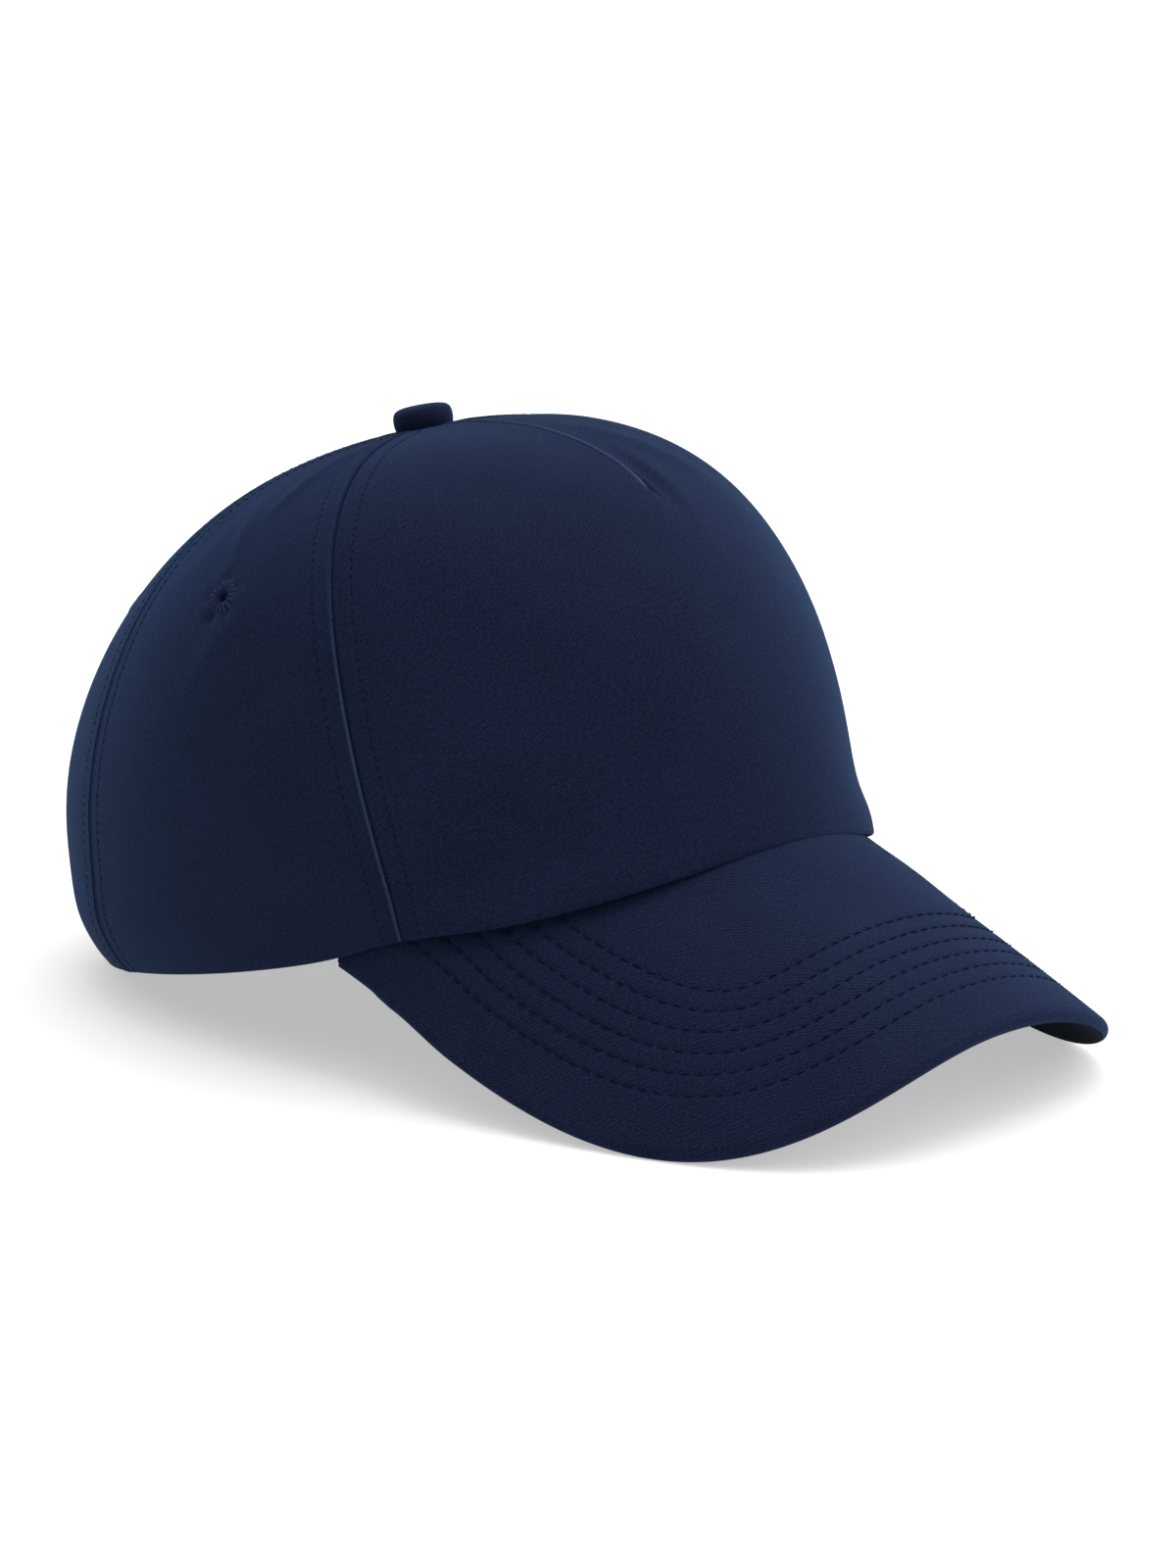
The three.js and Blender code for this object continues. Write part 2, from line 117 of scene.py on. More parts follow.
def rounded_radius(angle, half_width, length, power):
    across = np.abs(np.sin(angle)) / half_width
    along = np.abs(np.cos(angle)) / length
    return (across ** power + along ** power) ** (-1 / power)


def outward(angle):
    return np.stack([np.sin(angle), -np.cos(angle), np.zeros_like(angle)], -1)


def hem_point(angle, inset=0.0):
    length = np.where(np.cos(angle) > 0, HEM["front"], HEM["back"])
    radius = rounded_radius(angle, HEM["half_width"], length, HEM["roundness"]) - inset
    forward = (1 + np.cos(angle)) / 2
    point = outward(angle) * radius[..., None]
    point[..., 2] = (HEM_RISE["broad"] * forward ** HEM_RISE["broad_fall"]
                     + HEM_RISE["peak"] * forward ** HEM_RISE["peak_fall"]
                     - HEM_RISE["dip"] * (1 - forward) ** HEM_RISE["dip_fall"]
                     + HEM_RISE["seam"] * bump(np.degrees(np.abs(angle)) - HEM_RISE["seam_angle"],
                                               HEM_RISE["seam_width"]))
    return point


def crown_point(angle, climb):
    """A point of the crown: climb goes from 0 at the hem to 1 at the top."""
    angle, climb = np.broadcast_arrays(np.asarray(angle, float), np.asarray(climb, float))
    out = outward(angle)
    lean = np.radians(roundabout(WALL_LEAN, angle))[..., None]
    rise = out * np.sin(lean)
    rise[..., 2] = np.cos(lean[..., 0])
    start = hem_point(angle)
    lower = start + rise * roundabout(WALL_REACH, angle)[..., None]
    top = np.array([0.0, 0.0, CROWN_HEIGHT])
    slope = out.copy()
    slope[..., 2] = TOP_SLOPE * np.cos(angle)
    upper = top + slope * roundabout(TOP_REACH, angle)[..., None]
    t = climb[..., None]
    rest = 1 - t
    return rest ** 3 * start + 3 * rest ** 2 * t * lower + 3 * rest * t ** 2 * upper + t ** 3 * top


def unit(vectors):
    return vectors / np.maximum(np.linalg.norm(vectors, axis=-1, keepdims=True), 1e-12)


def crown_normal(angle, climb):
    step = 0.002
    around = crown_point(angle + step, climb) - crown_point(angle - step, climb)
    up = crown_point(angle, climb + step) - crown_point(angle, climb - step)
    return unit(np.cross(around, up))


def in_crown(angle, climb, depth):
    return crown_point(angle, climb) - crown_normal(angle, climb) * np.asarray(depth)[..., None]


def spread(angle, climb):
    return np.linalg.norm(crown_point(angle, climb)[..., :2], axis=-1)


def length_table():
    """Distances above the hem along the surface, for whole degrees, at evenly spaced climbs."""
    angles = np.radians(np.arange(-180, 181.0))
    climbs = np.linspace(0, 1, 301)
    points = crown_point(angles[:, None], climbs[None, :])
    steps = np.linalg.norm(np.diff(points, axis=1), axis=-1)
    return climbs, np.concatenate([np.zeros((len(angles), 1)), np.cumsum(steps, axis=1)], axis=1)


CLIMBS, LENGTHS = length_table()
REACHED = np.arange(0, 166.0)
CLIMB_AT = np.array([np.interp(REACHED, row, CLIMBS) for row in LENGTHS])


def look_up(table, angle, place):
    """Reads a table whose rows are whole degrees, at fractional places."""
    angle, place = np.degrees(np.asarray(angle, float)), np.asarray(place, float)
    angle, place = np.broadcast_arrays(angle, place)
    row = np.clip(np.mod(angle + 180, 360), 0, 359.999)
    low = row.astype(int)
    col = np.clip(place, 0, table.shape[1] - 1.001)
    left = col.astype(int)
    a, b = row - low, col - left
    near = table[low, left] * (1 - b) + table[low, left + 1] * b
    far = table[low + 1, left] * (1 - b) + table[low + 1, left + 1] * b
    return near * (1 - a) + far * a


def climb_at(angle, distance):
    return look_up(CLIMB_AT, angle, distance)


def distance_at(angle, climb):
    return look_up(LENGTHS, angle, np.asarray(climb) * (len(CLIMBS) - 1))


def near_top(angle, radius):
    return 1 - radius / (3 * roundabout(TOP_REACH, np.asarray(angle, float)))


def seam_angle(seam, climb):
    return np.radians(mix(seam[0], seam[1], climb))


def beside_seam(seam, climb, distance):
    angle = seam_angle(seam, climb)
    return angle + distance / spread(angle, climb)


def back_place(x, rise):
    """The angle and climb of a place on the back: x across, rise up the surface from the hem."""
    x, rise = np.broadcast_arrays(np.asarray(x, float), np.asarray(rise, float))
    angle = np.full(x.shape, math.pi)
    for _ in range(6):
        climb = climb_at(angle, rise)
        angle = math.pi - np.arcsin(x / spread(angle, climb))
    return angle, climb_at(angle, rise)


def arch_place(turn, outset):
    """On the rear arch's outline, or outset from it: turn goes from 0 at its +X foot to pi."""
    cosine, sine = np.abs(np.cos(turn)), np.abs(np.sin(turn))
    power = ARCH["squareness"]
    radius = (cosine ** power + sine ** power) ** (-1 / power)
    x = (ARCH["half_width"] + outset) * radius * np.cos(turn)
    return back_place(x, (ARCH["height"] + outset) * radius * sine)


# ---- the visor's surface ----
def visor_height(x, forward):
    lifted = (VISOR_CURVE["lift"] * bump(x, VISOR_CURVE["lift_width"])
              * smooth(HEM["front"], VISOR["reach"], forward))
    drop = VISOR_CURVE["drop"] * np.abs(x / VISOR_CURVE["drop_width"]) ** VISOR_CURVE["drop_power"]
    return VISOR_CURVE["height"] - VISOR_CURVE["slope"] * (forward - HEM["front"]) - drop + lifted


def visor_edge(s):
    """The outer edge in plan: a rounded front, then a short straight side back to the hem."""
    share, side = VISOR_SIDE["share"], VISOR_SIDE["length"]
    rounded = np.abs(s) / (1 - share)
    turn = np.sign(s) * np.minimum(rounded, 1) * math.pi / 2
    back = np.maximum(rounded - 1, 0) * (1 - share) / share * side
    radius = rounded_radius(turn, VISOR["half_width"], VISOR["reach"] - VISOR["root"],
                            VISOR["squareness"])
    forward = radius * np.cos(turn) - back
    flare = mix(VISOR_SIDE["half_width"] / VISOR["half_width"], 1,
                smooth(-side, VISOR_SIDE["flare_length"] - side, forward))
    return np.stack([flare * radius * np.sin(turn), -VISOR["root"] - forward], -1)


def visor_inner(s):
    return hem_point(s * math.radians(VISOR["hem_angle"]), VISOR["tuck"])


def visor_point(s, out):
    """A point of the upper surface: s goes across from -1 to 1, and out from 0 under the hem to 1
    at the edge."""
    s, out = np.broadcast_arrays(np.asarray(s, float), np.asarray(out, float))
    inner = visor_inner(s)
    plan = mix(inner[..., :2], visor_edge(s), out[..., None])
    step = inner[..., 2] - VISOR["gap"] - visor_height(inner[..., 0], -inner[..., 1])
    moved = np.linalg.norm(plan - inner[..., :2], axis=-1)
    near_hem = 1 - smooth(0, VISOR_CURVE["hem_blend"], moved)
    height = visor_height(plan[..., 0], -plan[..., 1]) + step * near_hem
    return np.concatenate([plan, height[..., None]], -1)


def visor_normal(s, out):
    s, out = np.broadcast_arrays(np.asarray(s, float), np.asarray(out, float))
    step = 0.01
    across = visor_point(np.minimum(s + step, 1), out) - visor_point(np.maximum(s - step, -1), out)
    inward = visor_point(s, np.maximum(out - step, 0)) - visor_point(s, np.minimum(out + step, 1))
    return unit(np.cross(across, inward))


def visor_thickness(points):
    """Full over most of the visor, thinning to the two covers where it ends beside the hem."""
    one_side = np.concatenate([np.abs(points[..., :1]), points[..., 1:]], -1)
    beside = np.linalg.norm(one_side - visor_point(1.0, 0.0), axis=-1)
    return mix(VISOR["end_thickness"], VISOR["thickness"], smooth(1, 18, beside))


def visor_length(s):
    return np.linalg.norm(visor_point(s, 1.0) - visor_point(s, 0.0), axis=-1)


# ---- into the row's frame ----
def lean(points):
    x, y, z = np.moveaxis(np.asarray(points, float), -1, 0)
    c, s = math.cos(LEAN_BACK), math.sin(LEAN_BACK)
    return np.stack([x, y * c + z * s, z * c - y * s], -1)


def to_row(points):
    return (lean(points) + STAND_SHIFT) * MM


# ---- mesh tools ----
def grid_quads(columns, rows, start=0, flip=False, wrap=False):
    """Quads over a grid of columns x rows points, numbered row by row within each column."""
    last = columns if wrap else columns - 1
    i, j = np.meshgrid(np.arange(last), np.arange(rows - 1), indexing="ij")
    next_i = (i + 1) % columns
    a, b = i * rows + j, next_i * rows + j
    quads = np.stack([a, b, b + 1, a + 1], -1).reshape(-1, 4) + start
    return quads[:, ::-1] if flip else quads


def shell_quads(columns, rows):
    """A closed shell: the outer grid, the inner grid and the rim between their borders."""
    inner = columns * rows
    number = np.arange(inner).reshape(columns, rows)
    ring = np.concatenate([number[:, 0], number[-1, 1:], number[-2::-1, -1], number[0, -2:0:-1]])
    after = np.roll(ring, -1)
    rim = np.stack([ring, ring + inner, after + inner, after], -1)
    inner_grid = grid_quads(columns, rows, inner, flip=True)
    return np.concatenate([grid_quads(columns, rows), inner_grid, rim])


@contextmanager
def editing(mesh):
    """Opens a mesh for changes, and writes it back with its faces turned outward."""
    edited = bmesh.new()
    edited.from_mesh(mesh)
    yield edited
    bmesh.ops.recalc_face_normals(edited, faces=edited.faces)
    edited.to_mesh(mesh)
    edited.free()
    mesh.update()


def new_object(name, points, faces, material, cloth=None, body=CAP, painted_light_and_shade=None):
    """An object from points and faces of one size. For each point, cloth is its place on the flat
    cloth in millimetres, and the last argument is how much painted highlight a fold gets or, below
    zero, how much painted shade a seam gets."""
    points = np.asarray(points, float).reshape(-1, 3)
    faces = np.asarray(faces)
    mesh = bpy.data.meshes.new(name)
    mesh.vertices.add(len(points))
    mesh.vertices.foreach_set("co", to_row(points).ravel())
    mesh.loops.add(faces.size)
    mesh.loops.foreach_set("vertex_index", faces.ravel())
    mesh.polygons.add(len(faces))
    mesh.polygons.foreach_set("loop_start", np.arange(0, faces.size, faces.shape[1]))
    if cloth is not None:
        flat = np.zeros((len(points), 3))
        flat[:, :2] = np.asarray(cloth, float).reshape(-1, 2) * MM
        place = mesh.attributes.new("cloth", "FLOAT_VECTOR", "POINT")
        place.data.foreach_set("vector", flat.ravel())
    if painted_light_and_shade is not None:
        mesh.attributes.new("painted_light_and_shade", "FLOAT", "POINT").data.foreach_set("value", np.ravel(painted_light_and_shade))
    mesh.update(calc_edges=True)
    with editing(mesh):
        pass
    mesh.shade_smooth()
    mesh.materials.append(material)
    piece = bpy.data.objects.new(name, mesh)
    bpy.context.scene.collection.objects.link(piece)
    if body:
        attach(piece, body)
    return piece


def stands_for(piece, *nodes):
    """Shows the piece in place of these CAD nodes, and names it after the first one."""
    piece.name = f"{nodes[0]}_look"
    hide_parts(*nodes)
    return piece


def new_shell(name, outer, inner, material, cloth, body=CAP):
    """A closed sheet of cloth or board between two faces of its own."""
    points = np.concatenate([outer.reshape(-1, 3), inner.reshape(-1, 3)])
    both = np.concatenate([cloth.reshape(-1, 2)] * 2)
    return new_object(name, points, shell_quads(*outer.shape[:2]), material, both, body)


def new_turned(name, outline, material, place, segments, wobble):
    """A turned solid: outline is points of (radius, height), and wobble moves each of them out."""
    outline = np.asarray(outline, float)
    turn = np.linspace(0, 2 * math.pi, segments, endpoint=False)
    radius = outline[None, :, 0] + wobble(turn[:, None], outline[None, :, :])
    height = np.broadcast_to(outline[None, :, 1], radius.shape)
    local = np.stack([radius * np.cos(turn)[:, None], radius * np.sin(turn)[:, None], height], -1)
    count = len(outline)
    closed = np.concatenate([local, local[:, :1]], axis=1)
    quads = grid_quads(segments, count + 1, wrap=True)
    wound = turn[:, None] * outline[:, 0].max() + 0 * radius
    flat = np.stack([wound, height - radius], -1)
    flat = np.concatenate([flat, flat[:, :1]], axis=1)
    piece = new_object(name, place(closed), quads, material, flat)
    weld(piece)
    return piece


def weld(piece, distance=1e-6):
    """Joins points that coincide, and drops faces that this leaves with no area."""
    with editing(piece.data) as mesh:
        bmesh.ops.remove_doubles(mesh, verts=mesh.verts, dist=distance)
        bmesh.ops.dissolve_degenerate(mesh, edges=mesh.edges, dist=distance)


def packed(width, near, fine, coarse, middle=False):
    """Places across strips of the given widths, from 0 to 1, closer together within near of both
    ends and, if asked, of the middle. Each width has a column of its own."""
    width = np.asarray(width, float) * (0.5 if middle else 1)
    edge = np.minimum(near / width, 0.42)[None, :]
    rising = np.linspace(0, 1, fine + 1)[:, None]
    between = np.linspace(0, 1, coarse + 1)[1:-1, None]
    places = np.concatenate([rising * edge, mix(edge, 1 - edge, between), 1 - edge + rising * edge])
    return np.concatenate([places / 2, 0.5 + places[1:] / 2]) if middle else places


# ---- stitches ----
def read_along(places, travelled, values):
    """The values at these distances along a path whose points lie at the travelled distances."""
    return np.stack([np.interp(places, travelled, v) for v in values.T], -1)


ROW_STEP = 0.3  # between the points that a row of stitches is kept as


class Rows:
    """Rows of stitches: paths on a surface with its normals, their dimples and their threads."""

    def __init__(self):
        self.paths = []
        self.tree = None

    def add(self, points, normals, pitch=3.1, length=2.5, radius=0.2):
        points, normals = np.asarray(points, float), np.asarray(normals, float)
        steps = np.linalg.norm(np.diff(points, axis=0), axis=-1)
        travelled = np.concatenate([[0], np.cumsum(steps)])
        even = np.arange(0, travelled[-1], ROW_STEP)
        points = read_along(even, travelled, points)
        normals = unit(read_along(even, travelled, normals))
        self.paths.append((points, normals, even, pitch, length, radius))

    def relief(self, points, depth=0.32, width=0.75):
        """How far the cloth sinks at each point: a groove along the rows, deeper at each hole."""
        flat = points.reshape(-1, 3)
        if self.tree is None:
            spots = np.concatenate([path[0] for path in self.paths])
            bite = [0.5 - 0.5 * np.cos(2 * math.pi * (path[2] / path[3])) for path in self.paths]
            self.bites = 1 - np.concatenate(bite)
            self.tree = KDTree(len(spots))
            for number, spot in enumerate(spots):
                self.tree.insert(spot, number)
            self.tree.balance()
        sunk = np.zeros(len(flat))
        for number, point in enumerate(flat):
            _, index, distance = self.tree.find(point)
            if distance < 3 * width:
                sunk[number] = depth * (0.35 + 0.65 * self.bites[index]) * math.exp(
                    -(distance / width) ** 2)
        return -sunk.reshape(points.shape[:-1])

    def thread(self, name, lift, body=CAP):
        """Every stitch as a short bent thread, raised by lift, that dives into the cloth at both
        ends."""
        rings, sides = 7, 6
        t = np.linspace(0, 1, rings)
        arch_up = np.sin(math.pi * t) ** 0.7
        around = np.linspace(0, 2 * math.pi, sides, endpoint=False)
        all_points, all_faces, total = [], [], 0
        tube = grid_quads(sides, rings, wrap=True)
        for points, normals, even, pitch, length, radius in self.paths:
            starts = np.arange((pitch - length) / 2, even[-1] - length, pitch)
            if not len(starts):
                continue
            along = starts[:, None] + t[None, :] * length
            middle, up = read_along(along, even, points), unit(read_along(along, even, normals))
            tangent = unit(np.gradient(middle, axis=1))
            side = np.cross(tangent, up)
            height = lift - 0.42 + 0.4 * arch_up
            middle = middle + up * height[None, :, None]
            thick = radius * (0.35 + 0.65 * arch_up)
            ring = (side[:, None] * np.cos(around)[None, :, None, None]
                    + up[:, None] * np.sin(around)[None, :, None, None] * 0.8)
            shell = middle[:, None] + ring * thick[None, None, :, None]
            first = total + np.arange(len(starts)) * sides * rings
            all_points.append(shell.reshape(-1, 3))
            all_faces.append((tube[None] + first[:, None, None]).reshape(-1, 4))
            total += len(starts) * sides * rings
        piece = new_object(name, np.concatenate(all_points), np.concatenate(all_faces), THREAD,
                           body=None)
        close_ends(piece)
        if body:
            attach(piece, body)
        return piece


def close_ends(piece):
    """Closes every open loop with one face."""
    with editing(piece.data) as mesh:
        bmesh.ops.holes_fill(mesh, edges=[e for e in mesh.edges if e.is_boundary], sides=0)
    piece.data.shade_smooth()


# ---- materials ----
class Nodes:
    """Short names for building one material's node tree."""

    def __init__(self, name):
        self.material = bpy.data.materials.new(name)
        self.material.use_nodes = True
        self.tree = self.material.node_tree
        self.shader = self.tree.nodes["Principled BSDF"]

    def new(self, kind, **values):
        node = self.tree.nodes.new(kind)
        for key, value in values.items():
            setattr(node, key, value)
        return node

    def link(self, source, target):
        self.tree.links.new(source, target)

    def math(self, operation, a, b=0.0, c=0.0):
        node = self.new("ShaderNodeMath", operation=operation)
        for socket, value in zip(node.inputs, (a, b, c)):
            if isinstance(value, (int, float)):
                socket.default_value = value
            else:
                self.link(value, socket)
        return node.outputs[0]

    def cloth_axes(self):
        """The place on the flat cloth, across and along, in metres."""
        place = self.new("ShaderNodeAttribute", attribute_name="cloth")
        split = self.new("ShaderNodeSeparateXYZ")
        self.link(place.outputs["Vector"], split.inputs[0])
        return place.outputs["Vector"], split.outputs[0], split.outputs[1]

    def noise(self, vector, scale, detail=2.0, roughness=0.5):
        node = self.new("ShaderNodeTexNoise")
        node.inputs["Scale"].default_value = scale
        node.inputs["Detail"].default_value = detail
        node.inputs["Roughness"].default_value = roughness
        self.link(vector, node.inputs["Vector"])
        return node.outputs["Fac"]

    def wave(self, value, pitch, phase=0.0):
        """A smooth wave between 0 and 1 that repeats every pitch metres."""
        turns = self.math("MULTIPLY_ADD", value, 2 * math.pi / pitch, phase)
        return self.math("MULTIPLY_ADD", self.math("SINE", turns), 0.5, 0.5)

    def shades(self, factor, dark, light):
        node = self.new("ShaderNodeMix", data_type="RGBA")
        self.link(factor, node.inputs["Factor"])
        node.inputs["A"].default_value = (*dark, 1)
        node.inputs["B"].default_value = (*light, 1)
        return node.outputs["Result"]

    def toward(self, factor, start, end):
        """From a colour that another node makes towards a fixed one."""
        node = self.new("ShaderNodeMix", data_type="RGBA")
        self.link(factor, node.inputs["Factor"])
        self.link(start, node.inputs["A"])
        node.inputs["B"].default_value = (*end, 1)
        return node.outputs["Result"]

    def surface(self, color, height=None, distance=0.0, **sockets):
        """Joins a colour to the shader, and a relief of the given depth in metres. The other
        sockets, in lower case with _ for each space, take a value or another node's output."""
        self.link(color, self.shader.inputs["Base Color"])
        if height is not None:
            node = self.new("ShaderNodeBump")
            node.inputs["Distance"].default_value = distance
            node.inputs["Strength"].default_value = 1.0
            self.link(height, node.inputs["Height"])
            self.link(node.outputs["Normal"], self.shader.inputs["Normal"])
        by_name = {socket.name.lower().replace(" ", "_"): socket for socket in self.shader.inputs}
        for name, value in sockets.items():
            if isinstance(value, (int, float, tuple)):
                by_name[name].default_value = value
            else:
                self.link(value, by_name[name])
        return self.material

    def solid_place(self):
        return self.new("ShaderNodeTexCoord").outputs["Object"]


def srgb(red, green, blue):
    def linear(value):
        value /= 255
        return value / 12.92 if value <= 0.04045 else ((value + 0.055) / 1.055) ** 2.4
    return tuple(linear(v) for v in (red, green, blue))


def scaled(color, factor):
    return tuple(min(c * factor, 1) for c in color)


FOLD_HIGHLIGHT_TINT = (0.022, 0.036, 0.05)  # added to the dye as a painted highlight along a fold's edge
SHEEN_TINT = (0.12, 0.4, 1.0, 1)


def twill(name, color, rib=0.00072, depth=0.00009, sheen=0.14):
    """Woven twill: diagonal ribs broken by the crossing yarns, with slubs and slight fading."""
    n = Nodes(name)
    place, x, y = n.cloth_axes()
    slub = n.noise(place, 900, 3, 0.65)
    speckle = n.noise(place, 2200, 1)
    wander = n.math("MULTIPLY_ADD", n.noise(place, 330, 3), rib * 2.2, -rib * 1.1)
    diagonal = n.math("ADD", n.math("MULTIPLY_ADD", y, 0.8, n.math("MULTIPLY", x, -0.6)), wander)
    across = n.math("MULTIPLY_ADD", x, 0.8, n.math("MULTIPLY", y, 0.6))
    ribs = n.math("POWER", n.wave(diagonal, rib), 0.7)
    yarns = n.wave(across, rib * 0.8, 1.3)
    weave = n.math("MULTIPLY", ribs, n.math("MULTIPLY_ADD", yarns, 0.35, 0.65))
    weave = n.math("MULTIPLY_ADD", slub, 0.5, weave)
    fade = n.noise(place, 38, 4, 0.55)
    grain = n.math("MULTIPLY_ADD", speckle, 1.8, n.math("MULTIPLY_ADD", slub, 0.8, -1.3))
    tone = n.math("MULTIPLY_ADD", weave, 0.36, n.math("MULTIPLY_ADD", fade, 0.45, grain))
    dyed = n.shades(tone, scaled(color, 0.5), scaled(color, 1.6))
    # The point attribute paints a highlight along lit fold edges and, below zero, paints shade into
    # seam crevices.
    painted_light_and_shade = n.new("ShaderNodeAttribute", attribute_name="painted_light_and_shade").outputs["Fac"]
    painted_highlight = n.toward(painted_light_and_shade, dyed, tuple(pale + 2.7 * c for pale, c in zip(FOLD_HIGHLIGHT_TINT, color)))
    with_painted_shade = n.toward(n.math("MULTIPLY", painted_light_and_shade, -1.0), painted_highlight, scaled(color, 0.1))
    return n.surface(with_painted_shade, weave, depth, roughness=n.math("MULTIPLY_ADD", slub, 0.1, 0.85),
                     sheen_weight=sheen, sheen_roughness=0.42, sheen_tint=SHEEN_TINT,
                     specular_ior_level=0.04)


def plain_tape(name, color):
    """Flat woven tape: straight yarns over and under."""
    n = Nodes(name)
    place, x, y = n.cloth_axes()
    over = n.wave(x, 0.0005)
    under = n.wave(y, 0.0007)
    weave = n.math("MULTIPLY_ADD", over, 0.6, n.math("MULTIPLY", under, 0.4))
    tone = n.math("MULTIPLY_ADD", n.noise(place, 300, 3), 0.5, n.math("MULTIPLY", weave, 0.4))
    return n.surface(n.shades(tone, scaled(color, 0.6), scaled(color, 1.5)), weave, 0.0001,
                     roughness=0.85, sheen_weight=0.05, specular_ior_level=0.08)


def thread(name, color):
    """Sewing thread, with its plies."""
    n = Nodes(name)
    ply = n.noise(n.solid_place(), 4200, 2)
    return n.surface(n.shades(ply, scaled(color, 0.6), scaled(color, 1.5)), ply, 0.00006,
                     roughness=0.8, sheen_weight=0.08, sheen_tint=SHEEN_TINT,
                     specular_ior_level=0.02)


def eyelet_thread(name, color):
    """Thread laid radially round a hole: painted highlights on the crests and painted shade in the
    gaps between them.
    """
    strands = 17
    n = Nodes(name)
    place, x, y = n.cloth_axes()
    turn = n.math("MULTIPLY", n.math("ARCTAN2", y, x), strands)
    crest = n.math("MULTIPLY_ADD", n.math("SINE", turn), 0.5, 0.5)
    tone = n.math("MULTIPLY_ADD", n.noise(place, 1600, 2), 0.5, n.math("MULTIPLY", crest, 0.6))
    return n.surface(n.shades(tone, scaled(color, 0.2), scaled(color, 3.4)), crest, 0.0002,
                     roughness=0.8, specular_ior_level=0.02)


def buckram_mesh(name, color):
    """Stiffened open gauze: thick resin-coated threads with dark gaps between them."""
    n = Nodes(name)
    place, x, y = n.cloth_axes()
    along, across = (n.math("POWER", n.wave(axis, 0.0014), 3) for axis in (x, y))
    threads = n.math("MAXIMUM", along, across)
    height = n.math("MULTIPLY_ADD", n.noise(place, 1500, 2), 0.3, threads)
    return n.surface(n.shades(threads, scaled(color, 0.25), scaled(color, 1.7)), height, 0.0003,
                     roughness=0.6)


def soft_foam(name, color):
    """Open-celled foam."""
    n = Nodes(name)
    cells = n.new("ShaderNodeTexVoronoi")
    cells.inputs["Scale"].default_value = 1400
    n.link(n.solid_place(), cells.inputs["Vector"])
    return n.surface(n.shades(cells.outputs["Distance"], scaled(color, 0.75), color),
                     cells.outputs["Distance"], 0.0002, roughness=0.95)


def satin(name, color):
    """Blank label satin: long floats with a soft shine."""
    n = Nodes(name)
    place, x, _ = n.cloth_axes()
    floats = n.wave(x, 0.0003)
    tone = n.math("MULTIPLY_ADD", n.noise(place, 120, 3), 0.6, n.math("MULTIPLY", floats, 0.3))
    return n.surface(n.shades(tone, scaled(color, 0.8), color), floats, 0.00005, roughness=0.4,
                     sheen_weight=0.3)


def moulded(name, color, rough):
    """Moulded plastic with a fine grain."""
    n = Nodes(name)
    speck = n.noise(n.solid_place(), 900, 3)
    return n.surface(n.shades(speck, scaled(color, 0.85), scaled(color, 1.1)), speck, 0.00005,
                     roughness=n.math("MULTIPLY_ADD", speck, 0.12, rough - 0.06))


def pressed_steel(name, color):
    """Plated sheet metal, slightly rubbed."""
    n = Nodes(name)
    wear = n.noise(n.solid_place(), 700, 5, 0.65)
    return n.surface(n.shades(wear, scaled(color, 0.7), color), wear, 0.00003,
                     roughness=n.math("MULTIPLY_ADD", wear, 0.3, 0.18), metallic=1.0)


NAVY = srgb(23, 29, 51)
TWILL = twill("navy_twill", NAVY)
# The under cover's cloth is darkened as painted shade for the shadow under the visor.
SHADED_UNDER_TWILL = twill("under_twill", scaled(NAVY, 0.3), sheen=0.0)
BAND_TWILL = twill("band_twill", scaled(NAVY, 0.95), rib=0.0008, sheen=0.15)
TAPE = plain_tape("navy_tape", scaled(NAVY, 1.1))
THREAD = thread("navy_thread", srgb(11, 16, 38))
EYELET_THREAD_PAINTED_LIGHT = eyelet_thread("eyelet_thread", NAVY)
BUCKRAM = buckram_mesh("mesh_backing", srgb(60, 62, 72))
FOAM = soft_foam("pale_foam", srgb(186, 188, 192))
SATIN = satin("white_satin", srgb(228, 228, 226))
LOOP_PILE = twill("loop_pile", scaled(NAVY, 0.8), rib=0.0005, depth=0.0003, sheen=0.3)
HOOK = moulded("hook_nylon", srgb(20, 23, 31), rough=0.42)
BOARD = moulded("visor_board", srgb(217, 217, 212), rough=0.55)
STEEL = pressed_steel("steel", srgb(160, 163, 168))


# ---- the cloth's own shape ----
WAVES = RNG.normal(0, 1, (16, 3)) / 19.0
PHASES = RNG.uniform(0, 2 * math.pi, 16)


def uneven(points, size):
    """A slow, slight unevenness, in millimetres."""
    return size * np.sin(points @ WAVES.T + PHASES).sum(-1) / math.sqrt(8)


def nearest(points, path):
    """The distance from each point to a path of closely spaced points."""
    tree = KDTree(len(path))
    for number, spot in enumerate(path):
        tree.insert(spot, number)
    tree.balance()
    found = [tree.find(point)[2] for point in points.reshape(-1, 3)]
    return np.array(found).reshape(points.shape[:-1])


def seam_relief(distance, radius, ridge, ridge_at=0.75, dip=0.62, dip_width=0.38):
    """Beside a seam the cloth dips into it, rolls over, and lies thicker over the allowance."""
    dip = -dip * bump(distance, dip_width)
    fold = ridge * bump(distance - ridge_at, 0.45)
    allowance = 0.12 * (1 - smooth(4.6, 6.0, distance))
    return (dip + fold + allowance) * smooth(3, 14, radius)


def fullness(angle, rise):
    """Where the filled crown stands a little proud of its plain curves."""
    around = np.degrees(np.abs(angle))
    front = 0.95 * bump(around - 38, 30) * smooth(4, 36, rise) * (1 - smooth(128, 160, rise))
    over_visor = 2.0 * bump(rise - 2.0, 7.5) * (1 - smooth(52, 66, around)) * smooth(8, 30, around)
    rear = (1.5 * bump(rise - 15, 10) - 0.6 * bump(rise, 3.5)) * bump(around - 136, 24)
    return front + over_visor + rear


